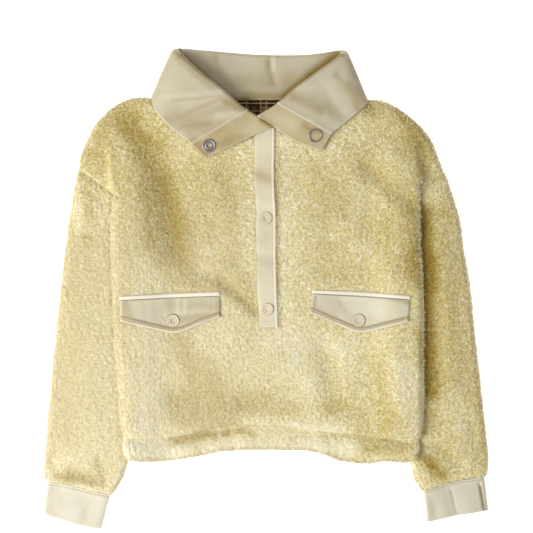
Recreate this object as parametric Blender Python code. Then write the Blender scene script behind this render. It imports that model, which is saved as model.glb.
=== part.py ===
"""Sherpa fleece pullover for a small child, laid flat on its back with the sleeves straight down.

Lengths in the tables are millimetres; the meshes are made in metres.  +X is to the right as seen
from above, +Y points to the collar, +Z is up.  The built garment's origin is the middle of its
box on the surface that it lies on; add_solid moves the tables' points there.  Left and right are
those of the view from above.
"""
import math

import bmesh
import bpy
import numpy as np
from mathutils import Vector
from mathutils.bvhtree import BVHTree

MM = 0.001

# Driving sizes, mm
FLEECE = 4.6            # wall of the fleece with its pile
TWILL = 1.4             # one ply of trim with its turned edges
TWILL_DOUBLE = 2.2      # two plies, as in the collar
SEAM = 0.5              # space between two pieces at a seam
REST = 0.4              # space between a piece and what lies on it
BACK_TOP = 5.0          # top of the back panel, whose underside is the ground
SLEEVE_HIDDEN_TOP = 10.2  # top of a sleeve where the body lies on it
FRONT_UNDER = BACK_TOP + REST
OVER_SLEEVE_UNDER = SLEEVE_HIDDEN_TOP + 0.7
FRONT_LEVEL = 11.6      # top of the front where it lies on the back panel
SIDE_RISE = 8.0         # how much higher it lies on the sleeves
SLEEVE_SWELL = 2.8      # rise of a sleeve's middle outside the body's edge
CUFF_TOP = 6.6
HEM_TOP = 10.4
BOX_MIDDLE = (0.5, -1.45)  # middle of the garment's box in the tables' x and y

# Outline of the front, columns x, y
LEFT_FOLD = [(-154.6, -164.5), (-159, -151), (-161, -128), (-163, -96), (-165.6, -58),
             (-168, -4), (-169.5, 30), (-170.5, 70), (-167, 103)]
RIGHT_FOLD = [(168.9, -167), (173, -150), (174.4, -125), (174.4, -88), (174.4, -36),
              (173, 15), (169.5, 45), (170.4, 75), (169, 113.5)]
LEFT_SHOULDER = [(-205, 131.5), (-204, 143.6), (-200.8, 152.4), (-196.4, 161.2), (-188, 178.8),
                 (-180, 187.6), (-171, 196.4), (-158, 204.5), (-146, 208.2), (-136, 209.4),
                 (-126, 207.5), (-119, 203)]
RIGHT_SHOULDER = [(194.2, 130.5), (189.8, 143.6), (186.5, 152.4), (183, 161.2), (176.6, 170),
                  (169, 178.8), (159, 187.6), (147, 196.4), (136, 202), (126, 205.6),
                  (116, 206.5), (109, 202)]
NECK_LEFT = [(-119, 203), (-108, 198), (-96, 194.5), (-66, 187.5), (-33, 181.5), (-0.5, 178)]
NECK_RIGHT = [(109, 202), (100, 197.5), (86, 194), (60, 187.5), (30, 181), (0.5, 178)]
HEM_SEAM = [(-154.6, -164.5), (-139, -166.2), (-108, -166), (-82, -160.8), (-57.8, -154.6),
            (-27, -150.2), (20.4, -151.9), (56.7, -157.9), (104, -162.3), (137, -167.2),
            (168.9, -168)]
HEM_EDGE = [(-151.3, -189.2), (-134.8, -192), (-106, -190.9), (-77.6, -186.5), (-49, -180.4),
            (-14.9, -178.8), (44.6, -179.3), (68, -184.8), (79, -190.9), (104, -194),
            (119, -193.4), (129, -191), (156.8, -192.6), (163.5, -189.5)]
PLACKET_END = -44.0
SLIT = 0.9                # centre-front slit under the placket

# Hidden inner edge of each sleeve, from the armhole down, columns x, y
LEFT_INNER = [(-167, 103), (-160, 88), (-150, 66), (-142, 40), (-133, -3), (-134, -69),
              (-141, -135), (-149, -174), (-151.3, -190)]
RIGHT_INNER = [(169, 113.5), (162, 92), (152, 66), (145, 40), (137, -3), (139, -69),
               (147, -135), (156, -176), (159, -195.3)]
LEFT_OUTER = [(-205, 131.5), (-210.7, 108.4), (-212.9, 90.8), (-216.2, 73.2), (-220.6, 38),
              (-225, 2.8), (-230.5, -50), (-236, -103), (-241, -164), (-243.5, -195),
              (-244, -207), (-240.8, -214)]
RIGHT_OUTER = [(194.2, 130.5), (200.8, 117.2), (203, 108.4), (208.5, 90.8), (214, 73.2),
               (218.4, 38), (225, 2.8), (230, -50), (236, -103), (241.5, -155), (245.5, -189),
               (243.7, -206), (241.5, -208)]
LEFT_WRIST = [(-151.3, -190), (-157.9, -209.6), (-165.6, -222.8), (-170.6, -228)]
RIGHT_WRIST = [(159, -195.3), (163.4, -208.5), (167.8, -217.3), (173.3, -224)]
LEFT_HEM_SIDE = [(-156, -165), (-157.4, -174), (-156, -183), (-151.3, -190)]
RIGHT_HEM_SIDE = [(169.5, -169), (170, -176), (168, -184), (163.5, -191)]
LEFT_CUFF_SEAM = [(-240.8, -214), (-226, -215.8), (-204, -220.3), (-191, -224.5), (-170.6, -228)]
LEFT_CUFF_EDGE = [(-244.8, -252.5), (-228, -255), (-207, -261), (-182, -266.4)]
RIGHT_CUFF_SEAM = [(241.5, -208), (217, -211.8), (202, -215), (183, -221.5), (173.3, -224)]
RIGHT_CUFF_EDGE = [(245.8, -245.6), (228, -249), (210, -251.4), (192, -255.8), (177.7, -259)]

# Soft folds of the front, columns x0, y0, x1, y1, height, half width
FRONT_FOLDS = [
    (-152, 186, -134, 158, -3.2, 11),      # hollow below the left shoulder point
    (-128, 150, -106, 75, -4.2, 13),       # long trough down the left chest
    (-104, 66, -98, 34, -2.4, 10),
    (-75, 20, -42, 6, -1.8, 7),
    (-44, 5, -8, -26, -2.6, 7),            # crease from the left flap to the placket
    (112, 131, 162, 92, -3.4, 10),         # pull from the right chest to the armhole
    (40, 118, 70, 55, -2.4, 14),
    (62, 17, 96, 10, -2.4, 7),             # hollow above the right flap
    (-118, -118, -20, -124, -2.6, 15),     # long hollow above the hem, left
    (-20, -124, 28, -116, -1.6, 13),
    (64, -62, 78, -128, -2.6, 12),         # hollow above the hem, right
    (130, -60, 150, -140, 2.2, 16),        # full ridge beside it
    (-30, -60, -62, -100, 1.4, 14),
    (146, 20, 168, 28, -2.0, 8),
    (-150, 25, -120, 35, 1.6, 14),
    (96, 60, 128, 30, 1.6, 16),
    (-60, 120, -30, 60, 1.6, 18),
    (10, -75, 45, -95, 1.3, 16),
]
# Folds of the sleeves, same columns
LEFT_SLEEVE_FOLDS = [
    (-203, 128, -178, 111, -2.2, 5),       # pulled armhole seam
    (-203, 112, -180, 96, -1.4, 5),
    (-228, -20, -222, -120, -1.0, 9),
    (-190, -60, -196, -140, 1.4, 14),
    (-214, -204, -188, -212, -2.6, 6),     # gathers above the cuff
    (-184, -190, -176, -214, -1.6, 5),
    (-236, -190, -226, -206, -1.2, 5),
]
RIGHT_SLEEVE_FOLDS = [
    (196, 124, 178, 112, -2.0, 5),
    (205, 92, 186, 84, -1.4, 5),
    (196, 40, 206, -110, 2.0, 9),          # long ridge down the arm
    (190, -176, 214, -196, -2.0, 7),
    (226, -150, 238, -190, -1.6, 7),
    (184, -200, 190, -216, -1.4, 5),
]
# Folds of the collar's fall, same columns
COLLAR_FOLDS = [
    (-112, 205, -48, 214, 1.6, 7),
    (-104, 188, -50, 206, -1.8, 6),
    (-84, 170, -36, 182, 1.0, 7),
    (60, 228, 84, 190, -1.6, 6),
    (40, 208, 66, 190, 1.4, 8),
    (88, 232, 104, 204, 1.2, 7),
]
# Creases of the collar's back, same columns
STAND_FOLDS = [
    (4, 256, 10, 226, -2.0, 5),
    (-54, 258, -50, 238, -1.6, 5),
    (-30, 214, -8, 222, 1.0, 5),
    (44, 232, 60, 214, 1.2, 8),
]

# The collar from its left front end round the back to its right front end.
# columns: neck x, y, z / roll x, y, z / free edge x, y, z / roll radius / turn, degrees
# turn is the way from the stand to the fall: 0 up, 90 to the left, 180 down, 270 to the right
COLLAR = [
    (1.0, 174.0, 15.0, 9.0, 177.6, 16.8, -65.5, 143.6, 15.0, 1.8, 0),
    (-26.0, 187.0, 15.2, -18.4, 194.2, 17.6, -82.0, 157.9, 15.0, 1.9, 0),
    (-44.0, 187.5, 14.8, -39.0, 212.4, 20.0, -105.0, 176.6, 15.0, 3.0, 0),
    (-74.0, 194.5, 14.6, -65.0, 233.0, 21.2, -119.0, 192.0, 15.6, 3.6, 0),
    (-103.5, 203.4, 15.2, -91.5, 256.4, 19.6, -124.4, 203.0, 15.4, 3.6, 35),
    (-109.5, 207.0, 10.8, -98.6, 261.4, 13.2, -122.4, 212.6, 8.4, 3.4, 90),
    (-103.0, 208.6, 6.6, -90.0, 262.2, 6.8, -108.0, 221.0, 2.4, 3.4, 150),
    (-60.0, 208.4, 6.6, -55.0, 259.2, 4.8, -62.0, 225.0, 1.4, 3.4, 180),
    (-4.0, 208.2, 6.8, -4.0, 255.4, 4.8, -4.0, 224.0, 1.4, 3.4, 180),
    (50.0, 208.4, 6.6, 45.0, 255.6, 4.8, 52.0, 225.0, 1.4, 3.4, 180),
    (93.0, 208.2, 6.6, 80.5, 260.0, 6.8, 96.0, 220.5, 2.4, 3.4, 210),
    (99.0, 206.4, 10.8, 86.4, 258.8, 13.2, 106.8, 212.0, 8.4, 3.4, 270),
    (93.0, 202.2, 15.4, 81.0, 253.4, 19.8, 111.0, 202.5, 15.6, 3.6, 325),
    (66.0, 194.5, 15.4, 52.3, 233.0, 21.8, 97.0, 189.0, 15.6, 3.6, 360),
    (42.0, 189.0, 16.8, 31.0, 217.5, 22.4, 84.0, 178.0, 15.4, 3.2, 360),
    (26.0, 191.0, 19.6, 14.0, 201.5, 23.4, 73.0, 168.9, 15.4, 2.4, 360),
    (0.5, 182.6, 22.6, -8.5, 187.4, 24.6, 61.0, 151.3, 15.6, 2.0, 360),
]
LEFT_BAND_STATION = 1.0
RIGHT_BAND_STATION = 15.0
COLLAR_LAST = len(COLLAR) - 1

# Pocket flaps and welts, columns x, y
LEFT_FLAP_TOP = [(-160, -14.4), (-106, -11.6), (-50, -9.6)]
LEFT_FLAP_EDGE = [(-159.3, -36.9), (-128, -44.5), (-106, -49.6), (-98.5, -50.2), (-90, -48.2),
                  (-72, -40.6), (-50, -32.6)]
LEFT_WELT_TOP = [(-160, -9.7), (-106, -6.6), (-50, -4.6)]
LEFT_WELT_EDGE = [(-160, -13.9), (-106, -11.1), (-50, -9.1)]
RIGHT_FLAP_TOP = [(51.4, -7.0), (104, -9.6), (158.4, -13.6)]
RIGHT_FLAP_EDGE = [(48.1, -27.2), (78, -40.2), (97, -48.2), (104.4, -49.8), (112, -48.9),
                   (132, -43.8), (156.2, -37.6)]
RIGHT_WELT_TOP = [(52, -3.4), (104, -5.2), (159, -9.6)]
RIGHT_WELT_EDGE = [(51.4, -6.5), (104, -9.1), (158.9, -13.1)]
FLAP_LIFT = 1.2

# Placket band, columns y, left x, right x, lift of the right edge
PLACKET = [(176, -11.6, 10.4, 0.0), (165, -12.2, 10.2, 0.6), (146, -12.1, 10.0, 1.6),
           (118, -11.4, 10.2, 2.4), (85, -10.0, 11.6, 2.2), (50, -9.9, 11.6, 1.0),
           (10, -9.6, 11.8, 0.6), (-20, -8.0, 13.0, 0.6), (-44, -7.4, 13.8, 0.2)]

# Snaps, columns x, y, outer radius
SNAP_FLAP_LEFT = (-101.8, -36.6, 6.9)
SNAP_FLAP_RIGHT = (102.3, -36.2, 6.9)
SNAP_PLACKET_UPPER = (0.6, 76.5, 6.4)
SNAP_PLACKET_LOWER = (2.2, -23.7, 6.4)
SNAP_COLLAR_LEFT = (-62.2, 155.7, 7.9)
SNAP_COLLAR_RIGHT = (54.5, 166.7, 7.9)


# ---------------------------------------------------------------- lines and surfaces

def smooth(t):
    """0 below 0, 1 above 1 and an S curve between."""
    t = np.clip(t, 0.0, 1.0)
    return t * t * (3.0 - 2.0 * t)


def chord(points):
    """Length along a polyline at each of its points."""
    steps = np.linalg.norm(np.diff(points, axis=0), axis=1)
    return np.concatenate([[0.0], np.cumsum(steps)])


def spline(table, places):
    """Points on the smooth curve through a table's rows, at places from 0 to 1 along it.

    Hermite curves between rows, the tangent at a row being the mean of its two chords."""
    p = np.asarray(table, float)
    s = chord(p)
    slope = np.gradient(p, s, axis=0)
    at = np.clip(np.asarray(places, float), 0.0, 1.0) * s[-1]
    k = np.clip(np.searchsorted(s, at, side="right") - 1, 0, len(s) - 2)
    h = (s[k + 1] - s[k])[:, None]
    t = ((at - s[k]) / (s[k + 1] - s[k]))[:, None]
    return ((2 * t**3 - 3 * t**2 + 1) * p[k] + (t**3 - 2 * t**2 + t) * h * slope[k]
            + (3 * t**2 - 2 * t**3) * p[k + 1] + (t**3 - t**2) * h * slope[k + 1])


def joined(*tables):
    """Several outline tables as one list of points, without the shared ends."""
    rows = list(tables[0])
    for table in tables[1:]:
        start = 1 if np.allclose(rows[-1], table[0]) else 0
        rows += list(table[start:])
    return np.asarray(rows, float)


def polyline(points, places):
    """Points at places from 0 to 1 along a polyline."""
    s = chord(points)
    at = np.asarray(places) * s[-1]
    return np.stack([np.interp(at, s, points[:, i]) for i in range(points.shape[1])], axis=1)


def with_corners(places, line, corners):
    """The places with the nearest one moved onto each corner row of the line."""
    s = chord(line) / chord(line)[-1]
    places = np.array(places, float)
    for row in corners:
        places[1 + np.argmin(abs(places[1:-1] - s[row]))] = s[row]
    return places


def coons(bottom, top, left, right, across, up):
    """Grid over a four-sided patch: each side's curve is blended across to its opposite, and
    what the corners add twice is taken off."""
    u, v = across[None, :, None], up[:, None, None]
    corners = ((1 - u) * (1 - v) * bottom[0] + u * (1 - v) * bottom[-1]
               + (1 - u) * v * top[0] + u * v * top[-1])
    return ((1 - v) * bottom[None] + v * top[None] + (1 - u) * left[:, None]
            + u * right[:, None] - corners)


def distance_to(line, x, y):
    """Distance of each point to a polyline."""
    line = np.asarray(line, float)
    best = np.full(np.shape(x), 1e9)
    for (ax, ay), (bx, by) in zip(line[:-1], line[1:]):
        dx, dy = bx - ax, by - ay
        t = np.clip(((x - ax) * dx + (y - ay) * dy) / max(dx * dx + dy * dy, 1e-9), 0, 1)
        best = np.minimum(best, np.hypot(x - ax - t * dx, y - ay - t * dy))
    return best


def folds(table, x, y):
    """Sum of soft troughs and ridges: each is a bell across its line, with fading ends."""
    z = np.zeros(np.shape(x))
    for x0, y0, x1, y1, height, half_width in table:
        dx, dy = x1 - x0, y1 - y0
        length = math.hypot(dx, dy)
        along = ((x - x0) * dx + (y - y0) * dy) / length
        across = ((y - y0) * dx - (x - x0) * dy) / length
        beyond = np.maximum(0, np.maximum(-along, along - length))
        z = z + height * np.exp(-(across / half_width) ** 2 - (beyond / half_width) ** 2)
    return z


def rounding(distance, radius):
    """Quarter circle from 0 at an edge to 1 at a radius from it."""
    return np.sqrt(np.clip(1 - (1 - np.clip(distance / radius, 0, 1)) ** 2, 0, 1))


def line_x(table, y):
    """x of a line at the height y, for a table that runs down."""
    p = np.asarray(table, float)[::-1]
    return np.interp(y, p[:, 1], p[:, 0])


# ---------------------------------------------------------------- heights of the front

def over_sleeve(x, y):
    """1 where a sleeve lies under the body, 0 where the back panel does, S curve between."""
    left = smooth((line_x(LEFT_INNER, y) + 15 - x) / 13) * smooth((112 - y) / 6)
    right = smooth((x - line_x(RIGHT_INNER, y) + 15) / 13) * smooth((122 - y) / 6)
    return np.maximum(left, right)


def front_sheet(x, y):
    """Top of the front without its rounded edges: level cloth, the rise of its sides on the
    sleeves, which ends as a step at the fold beside each shoulder cap, and the soft folds."""
    left_fold = -167 - 4 * smooth((y - 104) / 60)
    right_fold = 168 - 6 * smooth((y - 114) / 44)
    left = smooth((-108 - x) / 36) * smooth((x - left_fold + 8) / 8) * smooth((176 - y) / 62)
    right = smooth((x - 112) / 36) * smooth((right_fold + 8 - x) / 8) * smooth((172 - y) / 56)
    chest = 1.6 * np.exp(-((x + 62) / 60) ** 2 - ((y - 60) / 90) ** 2)
    chest += 1.8 * np.exp(-((x - 84) / 60) ** 2 - ((y - 90) / 60) ** 2)
    belly = 1.8 * np.exp(-((x + 10) / 110) ** 2 - ((y + 90) / 60) ** 2)
    lip = 1.4 * np.exp(-((y + 152) / 9) ** 2)
    crease = folds(FRONT_FOLDS, x, y)
    return FRONT_LEVEL + SIDE_RISE * np.maximum(left, right) + chest + belly + lip + crease


def front_floor(x, y):
    """Lowest that the underside of the front may be: clear of the back panel or the sleeve."""
    return FRONT_UNDER + (OVER_SLEEVE_UNDER - FRONT_UNDER) * over_sleeve(x, y)


def front_top(x, y):
    """Top of the front with its edges rounded down."""
    caps = np.minimum(distance_to(LEFT_SHOULDER, x, y), distance_to(RIGHT_SHOULDER, x, y))
    sides = np.minimum(distance_to(LEFT_FOLD, x, y), distance_to(RIGHT_FOLD, x, y))
    sides = np.where(front_floor(x, y) > FRONT_UNDER + 1, sides, 99.0)
    seam = np.minimum(distance_to([LEFT_FOLD[-1], LEFT_SHOULDER[0]], x, y),
                      distance_to([RIGHT_FOLD[-1], RIGHT_SHOULDER[0]], x, y))
    hem = distance_to(HEM_SEAM, x, y)
    low = front_floor(x, y)
    top = np.maximum(front_sheet(x, y), low + FLEECE)
    top = low + 0.9 + (top - low - 0.9) * rounding(caps, 9)
    top = low + 1.5 + (top - low - 1.5) * (0.45 + 0.55 * rounding(np.minimum(seam, hem), 7))
    return low + 3.6 + (top - low - 3.6) * rounding(sides, 8)


def front_under(x, y):
    """Underside of the front: a wall's thickness below its top, and never below its floor.
    At a side fold the wall is doubled by the cloth that turns under there."""
    sides = np.minimum(distance_to(LEFT_FOLD, x, y), distance_to(RIGHT_FOLD, x, y))
    over = over_sleeve(x, y)
    low = front_floor(x, y)
    turned = 3.0 * over * smooth((22 - sides) / 14)
    under = np.maximum(low, front_sheet(x, y) - FLEECE - turned)
    lift = 2.2 * over * (1 - rounding(sides, 5))
    return np.minimum(under + lift, front_top(x, y) - 1.2)


# ---------------------------------------------------------------- building solids

def material(name, colour, roughness, metallic=0.0):
    """Plain Principled material."""
    made = bpy.data.materials.new(name)
    made.use_nodes = True
    shader = made.node_tree.nodes["Principled BSDF"]
    shader.inputs["Base Color"].default_value = (*colour, 1.0)
    shader.inputs["Roughness"].default_value = roughness
    shader.inputs["Metallic"].default_value = metallic
    made.diffuse_color = (*colour, 1.0)
    return made


def add_solid(name, points, faces, look, colour, roughness, metallic=0.0):
    """Closed mesh object from the tables' points in mm, with its faces turned outwards."""
    mesh = bpy.data.meshes.new(name)
    placed = (np.asarray(points, float) - (*BOX_MIDDLE, 0.0)) * MM
    mesh.from_pydata(placed.tolist(), [], [list(f) for f in faces])
    work = bmesh.new()
    work.from_mesh(mesh)
    bmesh.ops.triangulate(work, faces=work.faces[:])
    bmesh.ops.recalc_face_normals(work, faces=work.faces[:])
    work.to_mesh(mesh)
    work.free()
    mesh.shade_smooth()
    mesh.materials.append(material(f"{name}_{look}", colour, roughness, metallic))
    made = bpy.data.objects.new(name, mesh)
    bpy.context.collection.objects.link(made)
    return made


def grid_faces(rows, columns, offset=0):
    """Quads of a grid of points."""
    at = np.arange(rows * columns).reshape(rows, columns) + offset
    quads = np.stack([at[:-1, :-1], at[:-1, 1:], at[1:, 1:], at[1:, :-1]], axis=-1)
    return quads.reshape(-1, 4)


def wall_between(top, under, faces):
    """Closed wall: the faces on the top points, the same on the under points, and a strip
    along each open edge."""
    count = len(top)
    used = {}
    for face in faces:
        for a, b in zip(face, np.roll(face, -1)):
            used[(int(a), int(b))] = True
    rim = [(a, b) for a, b in used if (b, a) not in used]
    quads = [list(map(int, f)) for f in faces]
    quads += [[int(i) + count for i in f[::-1]] for f in faces]
    quads += [[b, a, a + count, b + count] for a, b in rim]
    return np.concatenate([top, under]), quads


FLEECE_COLOUR = (0.76, 0.66, 0.36)
TWILL_COLOUR = (0.72, 0.68, 0.52)
PLAID_COLOUR = (0.09, 0.05, 0.03)
METAL_COLOUR = (0.55, 0.54, 0.52)
PAINT_COLOUR = (0.78, 0.75, 0.60)


def edge_spacing(count, first, second):
    """Places from 0 to 1, close together at the start to carry a rounded edge."""
    rest = np.linspace(second, 1, count - 2)
    return np.concatenate([[0.0, first], rest])


# ---------------------------------------------------------------- front panel

FRONT_ROWS, FRONT_COLUMNS = 27, 13

def half_front(fold, shoulder, neck, sign):
    """Grid of plan points of one half, columns from the side to the centre line."""
    side = joined(np.array(fold, float), np.array(shoulder, float))
    across = edge_spacing(FRONT_COLUMNS, 0.018, 0.055)
    up = edge_spacing(FRONT_ROWS, 0.012, 0.032)
    up = with_corners(up, side, [len(fold) - 1, len(fold)])
    left = polyline(side, up)
    centre_low = spline(HEM_SEAM, [0.48])[0][1]
    centre_y = centre_low + (neck[-1][1] - centre_low) * up ** 0.86
    right = np.stack([np.full(len(up), SLIT / 2 * sign), centre_y], axis=1)
    hem = np.asarray(HEM_SEAM, float)
    half = hem[hem[:, 0] * sign > 0]
    half = half[::-1] if sign > 0 else half
    bottom = polyline(np.concatenate([left[:1], half[1:], right[:1]]), across)
    top = polyline(np.asarray(neck, float), across)
    top[-1] = right[-1]
    return coons(bottom, top, left, right, across, up)


def body_front():
    """The front: two halves joined at the centre below the placket and slit above its end."""
    left = half_front(LEFT_FOLD, LEFT_SHOULDER, NECK_LEFT, -1)
    right = half_front(RIGHT_FOLD, RIGHT_SHOULDER, NECK_RIGHT, 1)
    rows, columns = left.shape[:2]
    closed = left[:, -1, 1] < PLACKET_END
    left[closed, -1, 0] = 0.0
    plan = np.concatenate([left.reshape(-1, 2), right.reshape(-1, 2)])
    index = np.arange(rows * columns * 2)
    left_at = index[:rows * columns].reshape(rows, columns)
    right_at = index[rows * columns:].reshape(rows, columns).copy()
    right_at[closed, -1] = left_at[closed, -1]
    quads = []
    for at, flip in ((left_at, False), (right_at, True)):
        block = np.stack([at[:-1, :-1], at[:-1, 1:], at[1:, 1:], at[1:, :-1]], axis=-1)
        block = block.reshape(-1, 4)
        quads += [q[::-1] if flip else q for q in block]
    used = np.unique(np.concatenate(quads))
    renumber = np.zeros(len(plan), int)
    renumber[used] = np.arange(len(used))
    plan = plan[used]
    quads = [renumber[q] for q in quads]
    x, y = plan[:, 0], plan[:, 1]
    top = np.stack([x, y, front_top(x, y)], axis=1)
    under = np.stack([x, y, front_under(x, y)], axis=1)
    points, faces = wall_between(top, under, quads)
    return add_solid("body_front", points, faces, "fleece", FLEECE_COLOUR, 0.95)


# ---------------------------------------------------------------- back panel

def body_back():
    """The back: flat on the surface between the sleeves, with both shoulder caps."""
    clear = 1.2
    cut = -163.0
    sides = []
    for inner, shoulder, sign in ((LEFT_INNER, LEFT_SHOULDER, 1), (RIGHT_INNER, RIGHT_SHOULDER, -1)):
        low = [(line_x(inner, cut) + sign * clear, cut)]
        low += [(x + sign * clear, y) for x, y in inner[:0:-1] if y > cut + 5]
        corner = (inner[0][0] + sign * 0.6, inner[0][1] + 1.6)
        notch = (shoulder[0][0], shoulder[0][1] + 0.8)
        top = len(shoulder) - (2 if sign > 0 else 1)
        sides.append(np.array(low + [corner, notch] + list(shoulder[1:top]), float))
    up = edge_spacing(22, 0.010, 0.028)
    corners = [len(sides[0]) - len(LEFT_SHOULDER) + 1, len(sides[0]) - len(LEFT_SHOULDER) + 2]
    left = polyline(sides[0], with_corners(up, sides[0], corners))
    corners = [len(sides[1]) - len(RIGHT_SHOULDER), len(sides[1]) - len(RIGHT_SHOULDER) + 1]
    right = polyline(sides[1], with_corners(up, sides[1], corners))
    across = np.concatenate([[0, 0.012], np.linspace(0.034, 0.966, 12), [0.988, 1]])
    hem = [p for p in HEM_SEAM if left[0][0] < p[0] < right[0][0]]
    hem = polyline(np.array(hem, float), across)
    hem[:, 1] += SEAM + 0.4
    hem[0], hem[-1] = left[0], right[0]
    neck = polyline(np.array([left[-1], (-118, 206.6), (-104, 208.6), (-60, 209.8), (0, 209.8),
                              (60, 209.8), (94, 208.0), right[-1]], float), across)
    plan = coons(hem, neck, left, right, across, up).reshape(-1, 2)
    x, y = plan[:, 0], plan[:, 1]
    caps = np.minimum(distance_to(LEFT_SHOULDER, x, y), distance_to(RIGHT_SHOULDER, x, y))
    under_z = 3.2 * (1 - rounding(caps, 5))
    top = np.stack([x, y, np.full(len(x), BACK_TOP)], axis=1)
    under = np.stack([x, y, under_z], axis=1)
    points, faces = wall_between(top, under, grid_faces(len(up), len(across)))
    return add_solid("body_back", points, faces, "fleece", FLEECE_COLOUR, 0.95)


# ---------------------------------------------------------------- tubes that lie flat

def flat_tube(name, outer_edge, inner_edge, start, end, top_z, under_z, wall, rows, half, radius,
              look, colour):
    """Tube pressed flat.  Rows run from the start line to the end line between its two side
    folds, half points over the top of each row and as many back under it; the inside is the
    same form a wall's thickness in, open at both ends."""
    along = np.linspace(0, 1, rows)
    side_a = polyline(np.asarray(outer_edge, float), along)
    side_b = polyline(np.asarray(inner_edge, float), along)
    turn = np.linspace(0, math.pi, half)
    across = (1 - np.cos(turn)) / 2
    across = 0.55 * across + 0.45 * np.linspace(0, 1, half)
    first = polyline(np.asarray(start, float), across)
    last = polyline(np.asarray(end, float), across)
    plan = coons(first, last, side_a, side_b, across, along)
    x, y = plan[..., 0], plan[..., 1]
    edge = np.minimum(np.hypot(x - side_a[:, None, 0], y - side_a[:, None, 1]),
                      np.hypot(x - side_b[:, None, 0], y - side_b[:, None, 1]))
    low, high = under_z(x, y), top_z(x, y)
    middle = (low + high) / 2
    full = rounding(edge, radius)
    upper = middle + (high - middle) * full
    lower = middle - (middle - low) * full
    # the inside: the same rows drawn in from both folds by the wall
    width = np.hypot(*(side_b - side_a).T)[:, None]
    shrink = 1 - 2 * wall / width
    inset = 0.5 + (across[None, :] - 0.5) * shrink
    xi = np.stack([np.interp(inset[r], across, x[r]) for r in range(rows)])
    yi = np.stack([np.interp(inset[r], across, y[r]) for r in range(rows)])
    low_in, high_in = under_z(xi, yi) + wall, top_z(xi, yi) - wall
    edge_in = np.minimum(np.hypot(xi - xi[:, :1], yi - yi[:, :1]),
                         np.hypot(xi - xi[:, -1:], yi - yi[:, -1:]))
    middle_in = (low_in + high_in) / 2
    room = np.maximum((high_in - low_in) / 2, 0.25) * (0.15 + 0.85 * rounding(edge_in, radius))
    outer = np.concatenate([np.stack([x, y, upper], -1),
                            np.stack([x, y, lower], -1)[:, ::-1][:, 1:-1]], axis=1)
    inner = np.concatenate([np.stack([xi, yi, middle_in + room], -1),
                            np.stack([xi, yi, middle_in - room], -1)[:, ::-1][:, 1:-1]], axis=1)
    ring = outer.shape[1]
    points = np.concatenate([outer.reshape(-1, 3), inner.reshape(-1, 3)])
    shift = rows * ring
    faces = []
    for r in range(rows - 1):
        for k in range(ring):
            n = (k + 1) % ring
            a, b, c, d = r * ring + k, r * ring + n, (r + 1) * ring + n, (r + 1) * ring + k
            faces.append([a, b, c, d])
            faces.append([d + shift, c + shift, b + shift, a + shift])
    for r in (0, rows - 1):
        for k in range(ring):
            n = (k + 1) % ring
            a, b = r * ring + k, r * ring + n
            faces.append([a, b, b + shift, a + shift])
    return add_solid(name, points, faces, look, colour, 0.9)


def ground(x, y):
    """The surface that the garment lies on."""
    return np.zeros(np.shape(x))


def sleeve_top(side):
    """Top of a sleeve: level and low where the body lies on it, and full between the body's
    edge and its own outer fold."""
    fold = LEFT_FOLD if side < 0 else RIGHT_FOLD
    outer = LEFT_OUTER if side < 0 else RIGHT_OUTER
    table = LEFT_SLEEVE_FOLDS if side < 0 else RIGHT_SLEEVE_FOLDS
    wrist = LEFT_WRIST if side < 0 else RIGHT_WRIST
    hem_side = LEFT_HEM_SIDE if side < 0 else RIGHT_HEM_SIDE
    start_y = fold[-1][1]
    edge_line = list(fold)[:0:-1] + list(hem_side) + list(wrist)[1:]

    def height(x, y):
        edge = line_x(edge_line, y)
        edge_out = line_x(outer, y)
        place = (x - edge) / (edge_out - edge)
        full = np.sin(np.pi * np.clip(place, 0, 1)) ** 0.75
        swell = SLEEVE_SWELL * smooth((start_y + 14 - y) / 30) * (1 - 0.35 * smooth((-195 - y) / 20))
        visible = smooth((place + 0.02) / 0.12)
        return SLEEVE_HIDDEN_TOP + swell * full + visible * (0.3 + 0.8 * folds(table, x, y))

    return height


def sleeves():
    """Both sleeves, from the armhole seam to the cuff seam."""
    for name, side, outer, inner, wrist, cuff in (
            ("sleeve_left", -1, LEFT_OUTER, LEFT_INNER, LEFT_WRIST, LEFT_CUFF_SEAM),
            ("sleeve_right", 1, RIGHT_OUTER, RIGHT_INNER, RIGHT_WRIST, RIGHT_CUFF_SEAM)):
        out_line = joined(np.array(outer, float))
        in_line = joined(np.array(inner, float), np.array(wrist, float))
        out_line[0] += (0.0, -SEAM * 1.6)
        in_line[0] += (0.0, -SEAM * 1.6)
        start = np.array([out_line[0], in_line[0]])
        cuff_line = np.array(cuff, float)
        cuff_line[0], cuff_line[-1] = out_line[-1], in_line[-1]
        flat_tube(name, out_line, in_line, start, cuff_line, sleeve_top(side), ground, FLEECE,
                  18, 11, 5.5, "fleece", FLEECE_COLOUR)


def cuffs():
    """Both cuffs: a folded band of twill round each wrist."""
    creases = [(-226, -222, -222, -236, -0.5, 4), (-200, -236, -196, -252, -0.6, 5),
               (188, -224, 194, -253, 0.7, 4), (209, -216, 213, -246, -0.9, 2.5),
               (226, -212, 232, -240, 0.8, 6)]

    def top(x, y):
        return CUFF_TOP + folds(creases, x, y)

    for name, side, seam, edge in (("cuff_left", -1, LEFT_CUFF_SEAM, LEFT_CUFF_EDGE),
                                   ("cuff_right", 1, RIGHT_CUFF_SEAM, RIGHT_CUFF_EDGE)):
        start = np.array(seam, float) + (0.0, -SEAM - 0.2)
        start[0] += (-1.2 * side, 0)
        start[-1] += (0.8 * side, 0)
        end = np.array(edge, float)
        flat_tube(name, [start[0], end[0]], [start[-1], end[-1]], start, end, top, ground, TWILL,
                  5, 12, 3.4, "twill", TWILL_COLOUR)


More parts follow.
